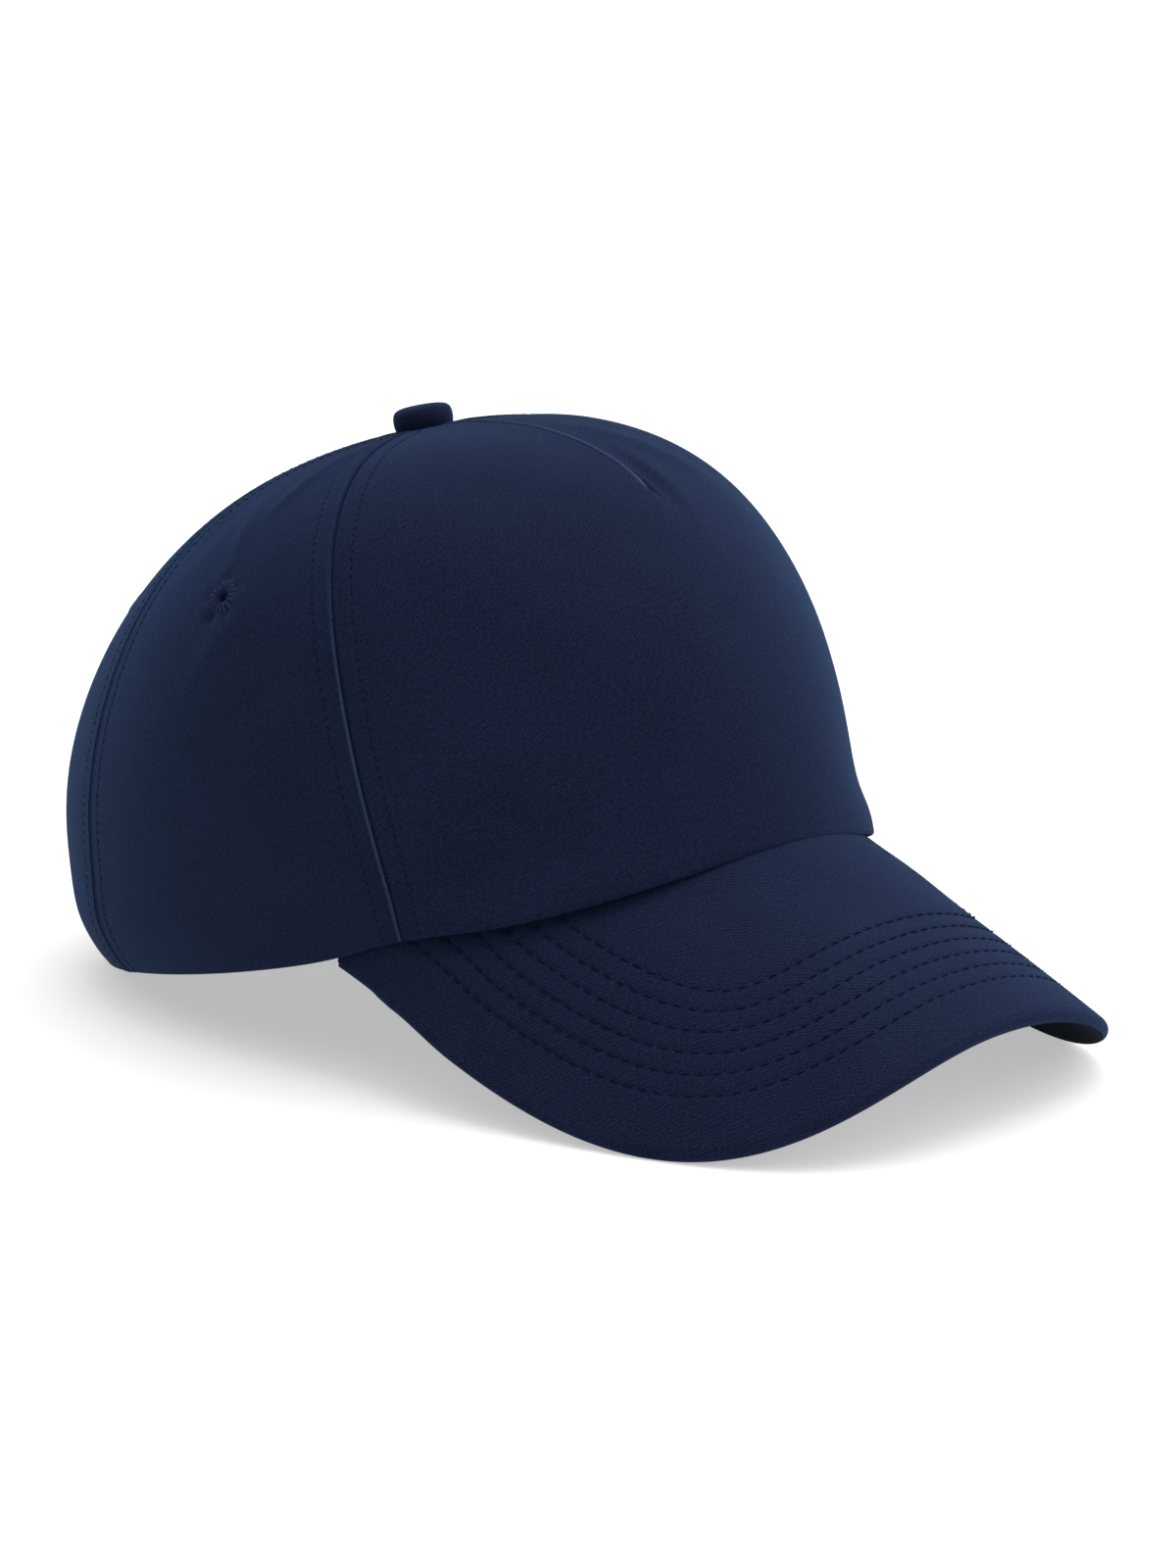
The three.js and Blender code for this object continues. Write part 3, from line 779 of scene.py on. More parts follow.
def overhang(angle, rise):
    """How far the front panel's folded hem hangs down over the visor."""
    around = np.degrees(angle)
    return 1.9 * bump(rise, 3.5) * smooth(-32, 15, around) * (1 - smooth(48, 62, around))


def on_crown(angle, climb):
    """The place on the filled, slightly uneven crown, and the way out of it."""
    base, normal = crown_point(angle, climb), crown_normal(angle, climb)
    full = fullness(angle, distance_at(angle, climb)) + uneven(base, 0.16)
    return base + normal * full[..., None], normal


def edge_roll(distance, radius=1.1):
    """How far a folded edge rolls in towards the inside."""
    rest = 1 - np.clip(distance / radius, 0, 1)
    return -0.85 * (1 - np.sqrt(1 - rest ** 2))


def crease(points, start, end, height, width):
    """A soft fold between two places, each given in degrees round and millimetres above the hem."""
    t = np.linspace(0, 1, 24)
    angle, rise = np.radians(mix(start[0], end[0], t)), mix(start[1], end[1], t)
    path = crown_point(angle, climb_at(angle, rise))
    gaps = np.linalg.norm(points[..., None, :] - path, axis=-1)
    fade = np.sin(math.pi * np.clip(t, 0.02, 0.98)) ** 0.5
    return height * (bump(gaps, width) * fade).max(-1)


# ---- stitch rows of the crown ----
def seam_row(seam, side, offset, first=0.3, last_radius=7.0):
    end = near_top(seam_angle(seam, 1), last_radius)
    climb = np.linspace(float(climb_at(seam_angle(seam, 0), first)), float(end), 400)
    radius = spread(seam_angle(seam, climb), climb)
    away = np.sign(offset) * np.minimum(abs(offset), 0.3 * radius)
    return side * beside_seam(seam, climb, away), climb


def back_row(offset, first, last_radius=7.0):
    climb = np.linspace(float(climb_at(math.pi, first)), float(near_top(math.pi, last_radius)), 300)
    radius = spread(math.pi, climb)
    return math.pi + np.sign(offset) * np.minimum(abs(offset), 0.3 * radius) / radius, climb


def arch_row(outset, start=0.03):
    return arch_place(np.linspace(start, math.pi - start, 400), outset)


SMALL_STITCH = {"pitch": 2.3, "length": 1.5, "radius": 0.16}
ARCH_ROWS = (2.2, 7.4)  # from the arch's edge


def rows_on(surface):
    """Every row of the crown's topstitching, on the face that surface(angle, climb) gives."""
    rows = Rows()
    for offset in (SEAM_STITCH, -SEAM_STITCH):
        for seam in (FRONT_SEAM, REAR_SEAM):
            for side in (1, -1):
                rows.add(*surface(*seam_row(seam, side, offset)), **SMALL_STITCH)
        rows.add(*surface(*back_row(offset, ARCH["height"] + 1.0)), **SMALL_STITCH)
    for outset in ARCH_ROWS:
        rows.add(*surface(*arch_row(outset)), **SMALL_STITCH)
    return rows


crown_rows = rows_on(on_crown)
crown_rows.thread("crown_topstitching", lift=0.12)


# ---- crown panels ----
TOP_HOLE = 3.0
SEAM_GAP = 0.3
SEAM_ZONE = 7.5  # beside a seam, where the panels' points lie closer together
EYELET_CUT = 2.5
# Where a panel's rows of points lie, from 0 at its folded lower edge, where they are closer, to 1.
PANEL_ROWS = np.concatenate([np.array([0, 0.25, 0.5, 0.8, 1.2, 1.8]) / 150,
                             np.linspace(2.6 / 150, 1, 230)])[None, :]


def eyelet_axes(eyelet, side, surface):
    """An eyelet's centre on the surface, and its right, up and outward directions."""
    angle = side * math.radians(eyelet[0])
    centre, normal = surface(angle, climb_at(angle, eyelet[1]))
    right = unit(np.cross([0.0, 0.0, 1.0], normal))
    return centre, right, np.cross(normal, right), normal


def on_plain_crown(angle, climb):
    return crown_point(angle, climb), crown_normal(angle, climb)


def eyelet_relief(points, eyelet, side):
    """The tight ring of thread draws the cloth in and puckers it around itself."""
    centre, right, up, _ = eyelet_axes(eyelet, side, on_plain_crown)
    across, above = (points - centre) @ right, (points - centre) @ up
    distance = np.linalg.norm(points - centre, axis=-1)
    turn = np.arctan2(above, across)
    pucker = 0.2 * np.cos(5 * turn + 1.0) + 0.12 * np.cos(3 * turn - 0.6)
    sunk = -0.45 * bump(distance, 4.2)
    dent = -0.8 * bump(np.hypot(across + 2.4, 1.6 * (above + 5.6)), 2.0)
    return eyelet[2] * (sunk + dent + pucker * bump(distance - 5.0, 2.0)) * (distance < 14)


def eyelet_cells(points, eyelet, side):
    """The grid cells that the eyelet's hole takes out."""
    centre = eyelet_axes(eyelet, side, on_plain_crown)[0]
    middles = (points[:-1, :-1] + points[1:, :-1] + points[1:, 1:] + points[:-1, 1:]) / 4
    return np.linalg.norm(middles - centre, axis=-1) < EYELET_CUT


def pierced_quads(columns, rows, holes):
    """The faces of a closed shell with some grid cells left out and the hole's walls closed."""
    inner = columns * rows
    quads = shell_quads(columns, rows)
    cells = (columns - 1) * (rows - 1)
    out = holes.ravel()
    kept = np.concatenate([~out, ~out, np.ones(len(quads) - 2 * cells, bool)])
    walls = []
    for i, j in zip(*np.nonzero(holes)):
        a, b = i * rows + j, (i + 1) * rows + j
        sides = [((i, j - 1), a, b), ((i + 1, j), b, b + 1), ((i, j + 1), b + 1, a + 1),
                 ((i - 1, j), a + 1, a)]
        walls += [(p, q, q + inner, p + inner) for cell, p, q in sides if not holes[cell]]
    return np.concatenate([quads[kept]] + ([np.array(walls)] if walls else []))


def grid_area(points):
    """In square metres."""
    corners = np.cross(points[1:, :-1] - points[:-1, :-1], points[:-1, 1:] - points[:-1, :-1])
    return np.linalg.norm(corners, axis=-1).sum() * MM * MM


def panel(name, angle, climb, relief, cloth, eyelet=None, side=1, painted_light_and_shade=None):
    """One panel of the crown with its relief, and the hole for its eyelet. Returns its area too."""
    base = crown_point(angle, climb)
    filled, normal = on_crown(angle, climb)
    lift = relief + crown_rows.relief(filled, 0.2, 0.6)
    if eyelet:
        lift = lift + eyelet_relief(base, eyelet, side)
    outer = filled + normal * lift[..., None]
    outer[..., 2] -= overhang(angle, distance_at(angle, climb))
    inner = base - normal * PANEL_THICKNESS
    columns, rows = base.shape[:2]
    holes = np.zeros((columns - 1, rows - 1), bool)
    if eyelet:
        holes = eyelet_cells(base, eyelet, side)
    points = np.concatenate([outer.reshape(-1, 3), inner.reshape(-1, 3)])
    both = np.concatenate([cloth.reshape(-1, 2)] * 2)
    if painted_light_and_shade is not None:
        painted_light_and_shade = np.stack([painted_light_and_shade, 0 * painted_light_and_shade])
    piece = new_object(name, points, pierced_quads(columns, rows, holes), TWILL, both,
                       painted_light_and_shade=painted_light_and_shade)
    with editing(piece.data) as mesh:
        bmesh.ops.delete(mesh, geom=[v for v in mesh.verts if not v.link_faces], context="VERTS")
    stands_for(piece, name)
    return piece, grid_area(base)


def dart_relief(across, radius, past_end):
    """The short seam down from the top, and how its end pulls the cloth."""
    along = smooth(-1.0, 5.0, past_end)
    seam = (-0.5 * bump(across - 0.5, 0.4) + 0.5 * bump(across + 0.35, 0.45)) * along
    near_side = 0.2 * smooth(-8, -1.0, across) * (across < 0) * along
    notch = -1.1 * bump(across - 0.9, 0.8) * bump(past_end - 4.0, 4.5)
    valley = -0.7 * bump(across - 3.6, 3.0) * bump(past_end - 7, 12)
    pucker = 0.45 * bump(across - 7.5, 2.6) * bump(past_end - 6, 10)
    return (seam + near_side + notch + valley + pucker) * smooth(4, 12, radius)


def dart_painted_light(across, radius, past_end):
    """Painted highlight along one side of the dart's fold, and painted shade in the seam beside it.
    """
    shaded = 0.45 + 0.5 * (1 - smooth(8, 22, past_end))
    painted_highlight = 0.9 - 0.5 * smooth(20, 60, past_end)
    near_end = bump(past_end - 3.0, 5.0)
    fold = bump(across + 0.35 + 0.25 * near_end, 0.32 + 0.12 * near_end)
    return ((painted_highlight * fold - shaded * bump(across - 0.55, 0.38))
            * smooth(0, 3.0, past_end) * smooth(5, 12, radius))


FRONT_CREASES = [
    ((11, 128), (21, 96), 0.75, 4.5),
    ((20, 100), (24, 78), 0.35, 6.0),
]
SIDE_CREASES = [
    ((-78, 149), (-89, 113), 0.95, 2.7),
    ((-81, 139), (-76, 119), 0.4, 2.2),
    ((-96, 118), (-92, 99), 0.5, 2.8),
    ((-104, 128), (-110, 106), -0.4, 4.0),
    ((-86, 86), (-97, 70), 0.35, 3.5),
    ((98, 118), (112, 140), 0.6, 3.6),
]


def make_front_panel():
    rows = PANEL_ROWS * near_top(0.0, TOP_HOLE)
    edge = beside_seam(FRONT_SEAM, rows, -SEAM_GAP / 2)
    place = packed(2 * (edge * spread(edge, rows))[0], SEAM_ZONE, 24, 34, middle=True)
    angle = mix(-edge, edge, place)
    climb = np.broadcast_to(rows, angle.shape)
    base = crown_point(angle, climb)
    radius = spread(angle, climb)
    rise = distance_at(angle, climb)
    to_seam = (seam_angle(FRONT_SEAM, climb) - np.abs(angle)) * radius
    relief = seam_relief(to_seam, radius, 0.06, dip=0.55, dip_width=0.45) + edge_roll(rise, 0.9)
    beside_dart = (angle * radius, radius, rise - distance_at(0.0, 1.0) + DART_LENGTH)
    relief = relief + dart_relief(*beside_dart)
    for fold in FRONT_CREASES:
        relief = relief + crease(base, *fold)
    cloth = np.stack([angle * radius, rise], -1)
    # Painted shade along the front panel's edge in the front seam, added to the dart's painted
    # highlight and shade.
    painted_light_and_shade = dart_painted_light(*beside_dart) - 0.85 * bump(to_seam - 0.25, 0.3)
    return panel("front_panel", angle, climb, relief, cloth, painted_light_and_shade=painted_light_and_shade)


def make_side_panel(word, side):
    rows = PANEL_ROWS * near_top(math.pi / 2, TOP_HOLE)
    front = beside_seam(FRONT_SEAM, rows, SEAM_GAP / 2)
    rear = beside_seam(REAR_SEAM, rows, -SEAM_GAP / 2)
    width = (rear - front) * spread(math.pi / 2, rows)
    angle = mix(front, rear, packed(width[0], SEAM_ZONE, 24, 72))
    climb = np.broadcast_to(rows, angle.shape)
    radius = spread(angle, climb)
    to_front = (angle - seam_angle(FRONT_SEAM, climb)) * radius
    to_rear = (seam_angle(REAR_SEAM, climb) - angle) * radius
    rise = distance_at(angle, climb)
    relief = (seam_relief(to_front, radius, 0.46, ridge_at=0.45, dip=0.25, dip_width=0.2)
              + seam_relief(to_rear, radius, 0.22) + edge_roll(rise))
    base = crown_point(side * angle, climb)
    for fold in SIDE_CREASES:
        if fold[0][0] * side > 0:
            relief = relief + crease(base, *fold)
    middle = (front[:, :1] + rear[:, :1]) / 2
    cloth = np.stack([side * (angle - middle) * radius, rise], -1)
    # Painted highlight along the side panel's fold beside the front seam, fading out higher up.
    painted_light_and_shade = 0.9 * bump(to_front - 0.3, 0.2) * (1 - smooth(45, 105, rise))
    return panel(f"{word}_side_panel", side * angle, climb, relief, cloth, SIDE_EYELET, side, painted_light_and_shade)


def make_back_panel(word, side):
    top = near_top(math.pi, TOP_HOLE)
    hem_share = 0.3  # of the lower edge: the rest of it runs up the arch
    across = np.unique(np.append(packed(np.full(1, 100.0), SEAM_ZONE, 20, 90)[:, 0], hem_share))
    seam_start = beside_seam(REAR_SEAM, 0.0, SEAM_GAP / 2)
    hem_end = back_place(ARCH["half_width"], 0)[0]
    on_hem = across <= hem_share
    turn = np.clip((across - hem_share) / (1 - hem_share), 0, 1) * math.pi / 2
    arch_angle, arch_climb = arch_place(turn, 0)
    low_angle = np.where(on_hem, mix(seam_start, hem_end, across / hem_share), arch_angle)[:, None]
    low_climb = np.where(on_hem, 0, arch_climb)[:, None]
    up = PANEL_ROWS
    climb = mix(low_climb, top, up)
    straight = mix(low_angle, mix(seam_angle(REAR_SEAM, top), math.pi, across)[:, None], up)
    seam = seam_angle(REAR_SEAM, climb)
    first = beside_seam(REAR_SEAM, climb, SEAM_GAP / 2)
    last = math.pi - SEAM_GAP / 2 / spread(math.pi, climb)
    angle = mix(first, last, np.clip((straight - seam) / (math.pi - seam), 0, 1))
    radius = spread(angle, climb)
    base = crown_point(side * angle, climb)
    lower_edge = crown_point(side * low_angle[:, 0], low_climb[:, 0])
    to_edge = nearest(base, read_along(np.linspace(0, 1, 1500), across, lower_edge))
    to_side = (angle - seam_angle(REAR_SEAM, climb)) * radius
    to_middle = (math.pi - angle) * radius
    rise = distance_at(angle, climb)
    relief = (seam_relief(to_side, radius, 0.18)
              + seam_relief(to_middle, radius, 0.3) * smooth(30, 40, rise) + edge_roll(to_edge))
    cloth = np.stack([side * (angle - 2.7) * radius, rise], -1)
    return panel(f"{word}_back_panel", side * angle, climb, relief, cloth, BACK_EYELET, side)


SIDES = (("left", 1), ("right", -1))
panels = [make_front_panel()]
for word, side in SIDES:
    panels += [make_side_panel(word, side), make_back_panel(word, side)]


# ---- stitched eyelets ----
def stitched_eyelet(name, eyelet, side):
    """A ring of thread sewn over the edge of the hole, proud of the cloth on both faces."""
    threads = 30
    centre, *axes = eyelet_axes(eyelet, side, on_crown)
    segments = threads * 8
    turn = np.linspace(0, 2 * math.pi, segments, endpoint=False)[:, None]
    ridge = np.abs(np.cos(threads / 2 * turn)) ** 0.8
    number = (turn * threads / 2 / math.pi).astype(int) % threads
    reach = RNG.uniform(-0.28, 0.22, threads)[number]
    wide, bore = EYELET_RIM, EYELET_BORE
    outline = np.array([(bore, -1.4), (bore, -0.3), (bore + 0.25, 0.25), (2.3, 0.5), (3.0, 0.42),
                        (wide, 0.0), (wide, -0.45), (2.6, -0.5), (2.5, -1.1), (3.2, -1.2),
                        (3.1, -1.5), (2.2, -1.85), (bore + 0.2, -1.7)])
    outward_share = smooth(2.2, wide, outline[:, 0])[None, :]
    radius = outline[None, :, 0] + outward_share * reach + 0.08 * ridge * outward_share
    show = np.array([0, 0.3, 1, 1, 1, 0.4, 0, 0, 0, -0.4, -1, -1, -1])[None, :]
    height = outline[None, :, 1] + 0.2 * ridge * show - 0.35
    oval = 1 + 0.06 * np.cos(2 * turn + 0.5)
    local = np.stack([radius * oval * np.cos(turn), radius * np.sin(turn), height], -1)
    local = np.concatenate([local, local[:, :1]], axis=1)
    points = centre + local @ np.stack(axes)
    quads = grid_quads(segments, len(outline) + 1, wrap=True)
    piece = new_object(name, points, quads, EYELET_THREAD_PAINTED_LIGHT, local[..., :2])
    weld(piece)
    stands_for(piece, name)


for word, side in SIDES:
    stitched_eyelet(f"{word}_side_eyelet", SIDE_EYELET, side)
    stitched_eyelet(f"{word}_back_eyelet", BACK_EYELET, side)


# ---- visor ----
def rim_share(s):
    """How far out the finished edge lies: it slants in to the hem at both ends."""
    return 1 - 0.7 * np.clip(1 - (1 - np.abs(s)) / 0.12, 0, 1) ** 2


def visor_rim(s):
    return visor_point(s, rim_share(s))


def visor_border(s):
    """The outer edge, the surface's normal there and the way out of the visor across the edge."""
    edge, normal = visor_rim(s), visor_normal(s, rim_share(s))
    tangent = unit(visor_rim(np.minimum(s + 0.002, 1)) - visor_rim(np.maximum(s - 0.002, -1)))
    return edge, normal, unit(np.cross(tangent, normal))


def stitched_insets(insets):
    """Rows that keep the given distances from the visor's edge."""
    s, out = np.linspace(-1, 1, 901), np.linspace(0, 1, 160)
    away = nearest(visor_point(s[:, None], out[None, :]), visor_rim(np.linspace(-1, 1, 4000)))
    rows = []
    for inset in insets:
        long_enough = away[:, 0] > inset
        places = [np.interp(inset, column[::-1], out[::-1]) for column in away[long_enough]]
        rows.append((visor_point(s[long_enough], places), visor_normal(s[long_enough], places)))
    return rows


VISOR_STITCH = {"pitch": 3.75, "length": 2.5}
visor_top_rows, visor_under_rows = Rows(), Rows()
insets = [VISOR_FIRST_ROW + VISOR_ROW_GAP * number for number in range(VISOR_ROWS)]
for points, normals in stitched_insets(insets):
    visor_top_rows.add(points, normals, **VISOR_STITCH)
    below = points - normals * visor_thickness(points)[:, None]
    visor_under_rows.add(below, -normals, **VISOR_STITCH)


def visor_grid(turn_end, turn_start=0.0, wrap_rows=16):
    """Points and normals over the visor, and the parts of the half round on which its edge turns
    over: turn_start and turn_end are angles round that edge, 0 at the top and pi underneath."""
    s = np.linspace(-1, 1, 421)
    edge, normal, out = visor_border(s)
    half = visor_thickness(edge)[:, None] / 2
    edge = edge + out * VISOR["proud"] * smooth(0, 0.12, 1 - np.abs(s))[:, None]
    share = rim_share(s)[:, None] - half / np.maximum(visor_length(s)[:, None], 2 * half)
    along = np.linspace(0, 1, 150)[None, :]
    flat = visor_point(s[:, None], along * share)
    normals = visor_normal(s[:, None], along * share)
    normals[:, -1] = normal
    pull = edge - out * half - visor_point(s, share[:, 0])
    flat = flat + pull[:, None, :] * (along ** 8)[..., None]
    turn = np.linspace(turn_start, turn_end, wrap_rows)[None, :, None]
    facing = normal[:, None] * np.cos(turn) + out[:, None] * np.sin(turn)
    centre = (edge - out * half - normal * half)[:, None]
    cloth = np.stack([flat[..., 0] * (1 + 0.35 * (flat[..., 0] / 80) ** 2), -flat[..., 1]], -1)
    lip = np.abs(turn[..., 0] - turn_start) * half
    beyond = cloth[:, -1:, :] + np.stack([np.zeros_like(lip), lip], -1)
    return flat, normals, centre, facing, cloth, beyond, half[:, None]


COVER_SKIN = 0.6
FLANGE_DEPTH = 1.95
TOP_TURN, UNDER_TURN = 0.66 * math.pi, 0.68 * math.pi  # where the covers end round the visor's edge


def visor_flange(columns):
    """The cover's sewn edge, turned up inside the crown behind the front panel's lining."""
    rises = np.array([9.0, 5.0, 2.5, 1.2, 0.5])
    angle = np.linspace(-1, 1, columns)[:, None] * math.radians(VISOR["hem_angle"]) + 0 * rises
    faces = [in_crown(angle, climb_at(angle, rises), FLANGE_DEPTH + skin + 0 * angle)
             for skin in (0, COVER_SKIN)]
    return *faces, np.stack([0 * angle, rises + 0 * angle], -1)


def make_visor_top():
    flat, normals, centre, facing, cloth, beyond, half = visor_grid(TOP_TURN)
    lift = (visor_top_rows.relief(flat, 0.38) + uneven(flat, 0.1))[..., None]
    rim = centre + facing * half
    under_rim = centre + facing * (half - COVER_SKIN)
    turned_up, behind, above = visor_flange(flat.shape[0])
    outer = np.concatenate([turned_up, flat + normals * lift, rim[:, 1:]], axis=1)
    inner = np.concatenate([behind, flat - normals * COVER_SKIN, under_rim[:, 1:]], axis=1)
    flats = np.concatenate([cloth[:, :1] - above, cloth, beyond[:, 1:]], axis=1)
    piece = new_shell("visor_top_cover", outer, inner, TWILL, flats)
    return stands_for(piece, "visor_top_cover"), grid_area(outer)


def make_visor_under():
    flat, normals, centre, facing, cloth, beyond, half = visor_grid(UNDER_TURN, math.pi, 10)
    thick = visor_thickness(flat)[..., None]
    lift = visor_under_rows.relief(flat - normals * thick, 0.3)[..., None]
    rim = centre + facing * half
    above_rim = centre + facing * (half - COVER_SKIN)
    outer = np.concatenate([flat - normals * (thick + lift), rim[:, 1:]], axis=1)
    inner = np.concatenate([flat - normals * (thick - COVER_SKIN), above_rim[:, 1:]], axis=1)
    flats = np.concatenate([cloth, beyond[:, 1:]], axis=1)
    piece = new_shell("visor_under_cover", outer, inner, SHADED_UNDER_TWILL, flats)
    return stands_for(piece, "visor_under_cover"), grid_area(outer)


def make_visor_board():
    """The stiff insert between the two covers, short of their sewn edge."""
    s, along = np.linspace(-0.93, 0.93, 121)[:, None], np.linspace(0.01, 1, 40)[None, :]
    out = along * (1 - 2.2 / visor_length(s))
    points, normals = visor_point(s, out), visor_normal(s, out)
    thick = visor_thickness(points)[..., None]
    upper, lower = (points - normals * thick * share for share in (0.3, 0.7))
    board = new_shell("visor_board", upper, lower, BOARD, points[..., :2])
    stands_for(board, "visor_board")


make_visor_board()
for piece, area in (make_visor_top(), make_visor_under()):
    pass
visor_top_rows.thread("visor_top_stitching", lift=0.08)
visor_under_rows.thread("visor_under_stitching", lift=0.08)


# ---- top button ----
def on_seat(local):
    """From the button's own axis, Z up, to the top of the crown."""
    tilt = math.atan(TOP_SLOPE)
    x, y, z = np.moveaxis(local, -1, 0)
    back = y * math.cos(tilt) + z * math.sin(tilt)
    height = z * math.cos(tilt) - y * math.sin(tilt)
    return np.stack([x, back, height + CROWN_HEIGHT + BUTTON_LIFT], -1)


def gathers(turn, outline):
    """Cloth drawn in under the button in small folds."""
    low = 1 - smooth(-0.9, 2.4, outline[..., 1])
    return low * (0.08 * np.cos(13 * turn + 0.4) + 0.05 * np.cos(22 * turn + 2))


BUTTON_OUTLINE = [  # radius and height: up the outside to the axis, and back down the inside
    (5.6, -1.3), (6.35, -0.9), (6.9, -0.1), (7.2, 0.9), (7.32, 2.0), (7.25, 3.2), (6.95, 4.2),
    (6.35, 4.9), (5.2, 5.35), (3.5, 5.6), (1.7, 5.7), (0.0, 5.72),
    (0.0, 5.0), (3.0, 4.9), (4.9, 4.6), (5.9, 3.9), (6.3, 2.7), (6.1, 0.9), (5.5, -0.6),
]
button = new_turned("button_cover", BUTTON_OUTLINE, TWILL, on_seat, 120, gathers)
button.modifiers.new("smooth", "SUBSURF").levels = 1
button.modifiers["smooth"].render_levels = 1
stands_for(button, "button_cover")


# ---- linings ----
def lining(name, where, across, up, depths, material, waves=None, roll=0.3, body=CAP):
    """A thin strip laid inside the crown, which stands for the node of its name: where(u, v) gives
    its angle and climb, and waves is the size of its unevenness."""
    u, v = np.linspace(0, 1, across)[:, None], np.linspace(0, 1, up)[None, :]
    angle, climb = np.broadcast_arrays(*where(u, v))
    base, normal = crown_point(angle, climb), crown_normal(angle, climb)
    rise = distance_at(angle, climb)
    turn = (angle - angle.mean()) * spread(angle, climb)
    raised = np.zeros_like(angle) if waves is None else uneven(base, waves)
    border = np.minimum(np.minimum(u, 1 - u) * across, np.minimum(v, 1 - v) * up)
    raised = raised - roll * (1 - smooth(0, 2, border))
    outer = base - normal * depths[0]
    inner = base - normal * (depths[1] + raised)[..., None]
    piece = new_shell(name, outer, inner, material, np.stack([turn, rise], -1), body)
    return stands_for(piece, name)


# How far inside the crown's plain curves each lining's two faces lie.
LINING = (1.15, 1.85)
BUCKRAM_DEPTHS = (1.1, 1.7)
DART_TAPE_DEPTHS = (1.95, 2.5)
FOAM_DEPTHS = (3.3, 4.8)
LABEL_DEPTHS = (3.2, 3.6)
TAPE_END = 9.0  # from the crown's top


def tape_width(radius):
    return np.minimum(12.0, 0.6 * radius)


def seam_tape(word, side, which, seam):
    def where(u, v):
        last = near_top(seam_angle(seam, 1), TAPE_END)
        climb = mix(climb_at(seam_angle(seam, 0), 0.4), last, v)
        width = tape_width(spread(seam_angle(seam, climb), climb))
        return side * beside_seam(seam, climb, (u - 0.5) * width), climb + 0 * u
    lining(f"{word}_{which}_seam_tape", where, 14, 220, LINING, TAPE)


def on_lining(angle, climb):
    """The place on the inner face of the crown's linings, and the way in from it."""
    return in_crown(angle, climb, LINING[1] + 0 * angle), -crown_normal(angle, climb)


for word, side in SIDES:
    seam_tape(word, side, "front", FRONT_SEAM)
    seam_tape(word, side, "rear", REAR_SEAM)
rows_on(on_lining).thread("inside_topstitching", lift=0.12)


def centre_back(u, v):
    first = climb_at(math.pi, ARCH["height"] + ARCH["binding"] + 0.15)
    climb = mix(first, near_top(math.pi, TAPE_END), v)
    radius = spread(math.pi, climb)
    return math.pi + (u - 0.5) * tape_width(radius) / radius, climb + 0 * u


def buckram(u, v):
    climb = mix(climb_at(0.0, 1.0), near_top(0.0, 18.0), v)
    edge = beside_seam(FRONT_SEAM, climb, -6.8)
    return mix(-edge, edge, u), climb + 0 * u


def dart_strip(u, v):
    climb = mix(near_top(0.0, DART_LENGTH + TAPE_END), near_top(0.0, TAPE_END), v)
    return (u - 0.5) * 9.0 / spread(0.0, climb), climb + 0 * u


def binding(u, v):
    return arch_place(mix(0.03, math.pi - 0.03, u), v * ARCH["binding"])


lining("centre_back_seam_tape", centre_back, 14, 160, LINING, TAPE)
lining("front_buckram", buckram, 120, 120, BUCKRAM_DEPTHS, BUCKRAM, waves=0.12)
lining("dart_tape", dart_strip, 12, 110, DART_TAPE_DEPTHS, TAPE)
lining("arch_binding", binding, 220, 14, LINING, TAPE)


# ---- sweatband ----
BAND_END = float(back_place(ARCH["half_width"] + 1, 0)[0])
BAND_ROWS = (28.5, 3.4)


def band_depth(angle):
    around = np.abs(angle)
    padding = 1 - smooth(math.radians(56), math.radians(76), around)
    rear = smooth(math.radians(132), math.radians(148), around)
    return (BAND["depth"] + padding * (BAND["padded_depth"] - BAND["depth"])
            + rear * (BAND["rear_depth"] - BAND["depth"]))


def make_sweatband():
    """A folded strip, rounded over at its top and bottom, with its stitched hem along the top."""
    angle = np.linspace(-BAND_END, BAND_END, 620)[:, None]
    ring = np.linspace(0, 2 * math.pi, 72, endpoint=False)[None, :]
    across = np.sign(np.cos(ring)) * np.abs(np.cos(ring)) ** 0.28
    middle, half = (0.6 + BAND["height"]) / 2, (BAND["height"] - 0.6) / 2
    rise = middle + half * np.sign(np.sin(ring)) * np.abs(np.sin(ring)) ** 0.6 + 0 * angle
    depth = band_depth(angle) + 0.6 - 0.6 * across
    faces_in = across < 0
    quilt = 0.35 * np.sin(rise / 3.6 + 1) * np.sin(angle * 21) * smooth(4, 10, rise)
    stitched = -0.4 * bump(rise - BAND_ROWS[0], 1.1) - 0.35 * bump(rise - BAND_ROWS[1], 1.1)
    depth = depth + faces_in * (quilt * 0.5 + stitched) + 0.25 * np.sin(angle * 9 + 1)
    climb = climb_at(angle + 0 * rise, rise)
    points = in_crown(angle + 0 * rise, climb, depth)
    cloth = np.stack([angle * 90 + 0 * rise, rise], -1)
    columns, rows = rise.shape
    closed = np.concatenate([points, points[:, :1]], axis=1)
    flats = np.concatenate([cloth, cloth[:, :1]], axis=1)
    quads = grid_quads(columns, rows + 1)
    piece = new_object("sweatband", closed, quads, BAND_TWILL, flats)
    weld(piece)
    close_ends(piece)
    return stands_for(piece, "sweatband")


def band_row(rise):
    """A row of the sweatband's stitches, at this height above the hem."""
    angle = np.linspace(-BAND_END + 0.03, BAND_END - 0.03, 900)
    climb = climb_at(angle, rise)
    normal = crown_normal(angle, climb)
    depth = band_depth(angle) + 1.2 + 0.25 * np.sin(angle * 9 + 1) - 0.35
    return crown_point(angle, climb) - normal * depth[:, None], -normal


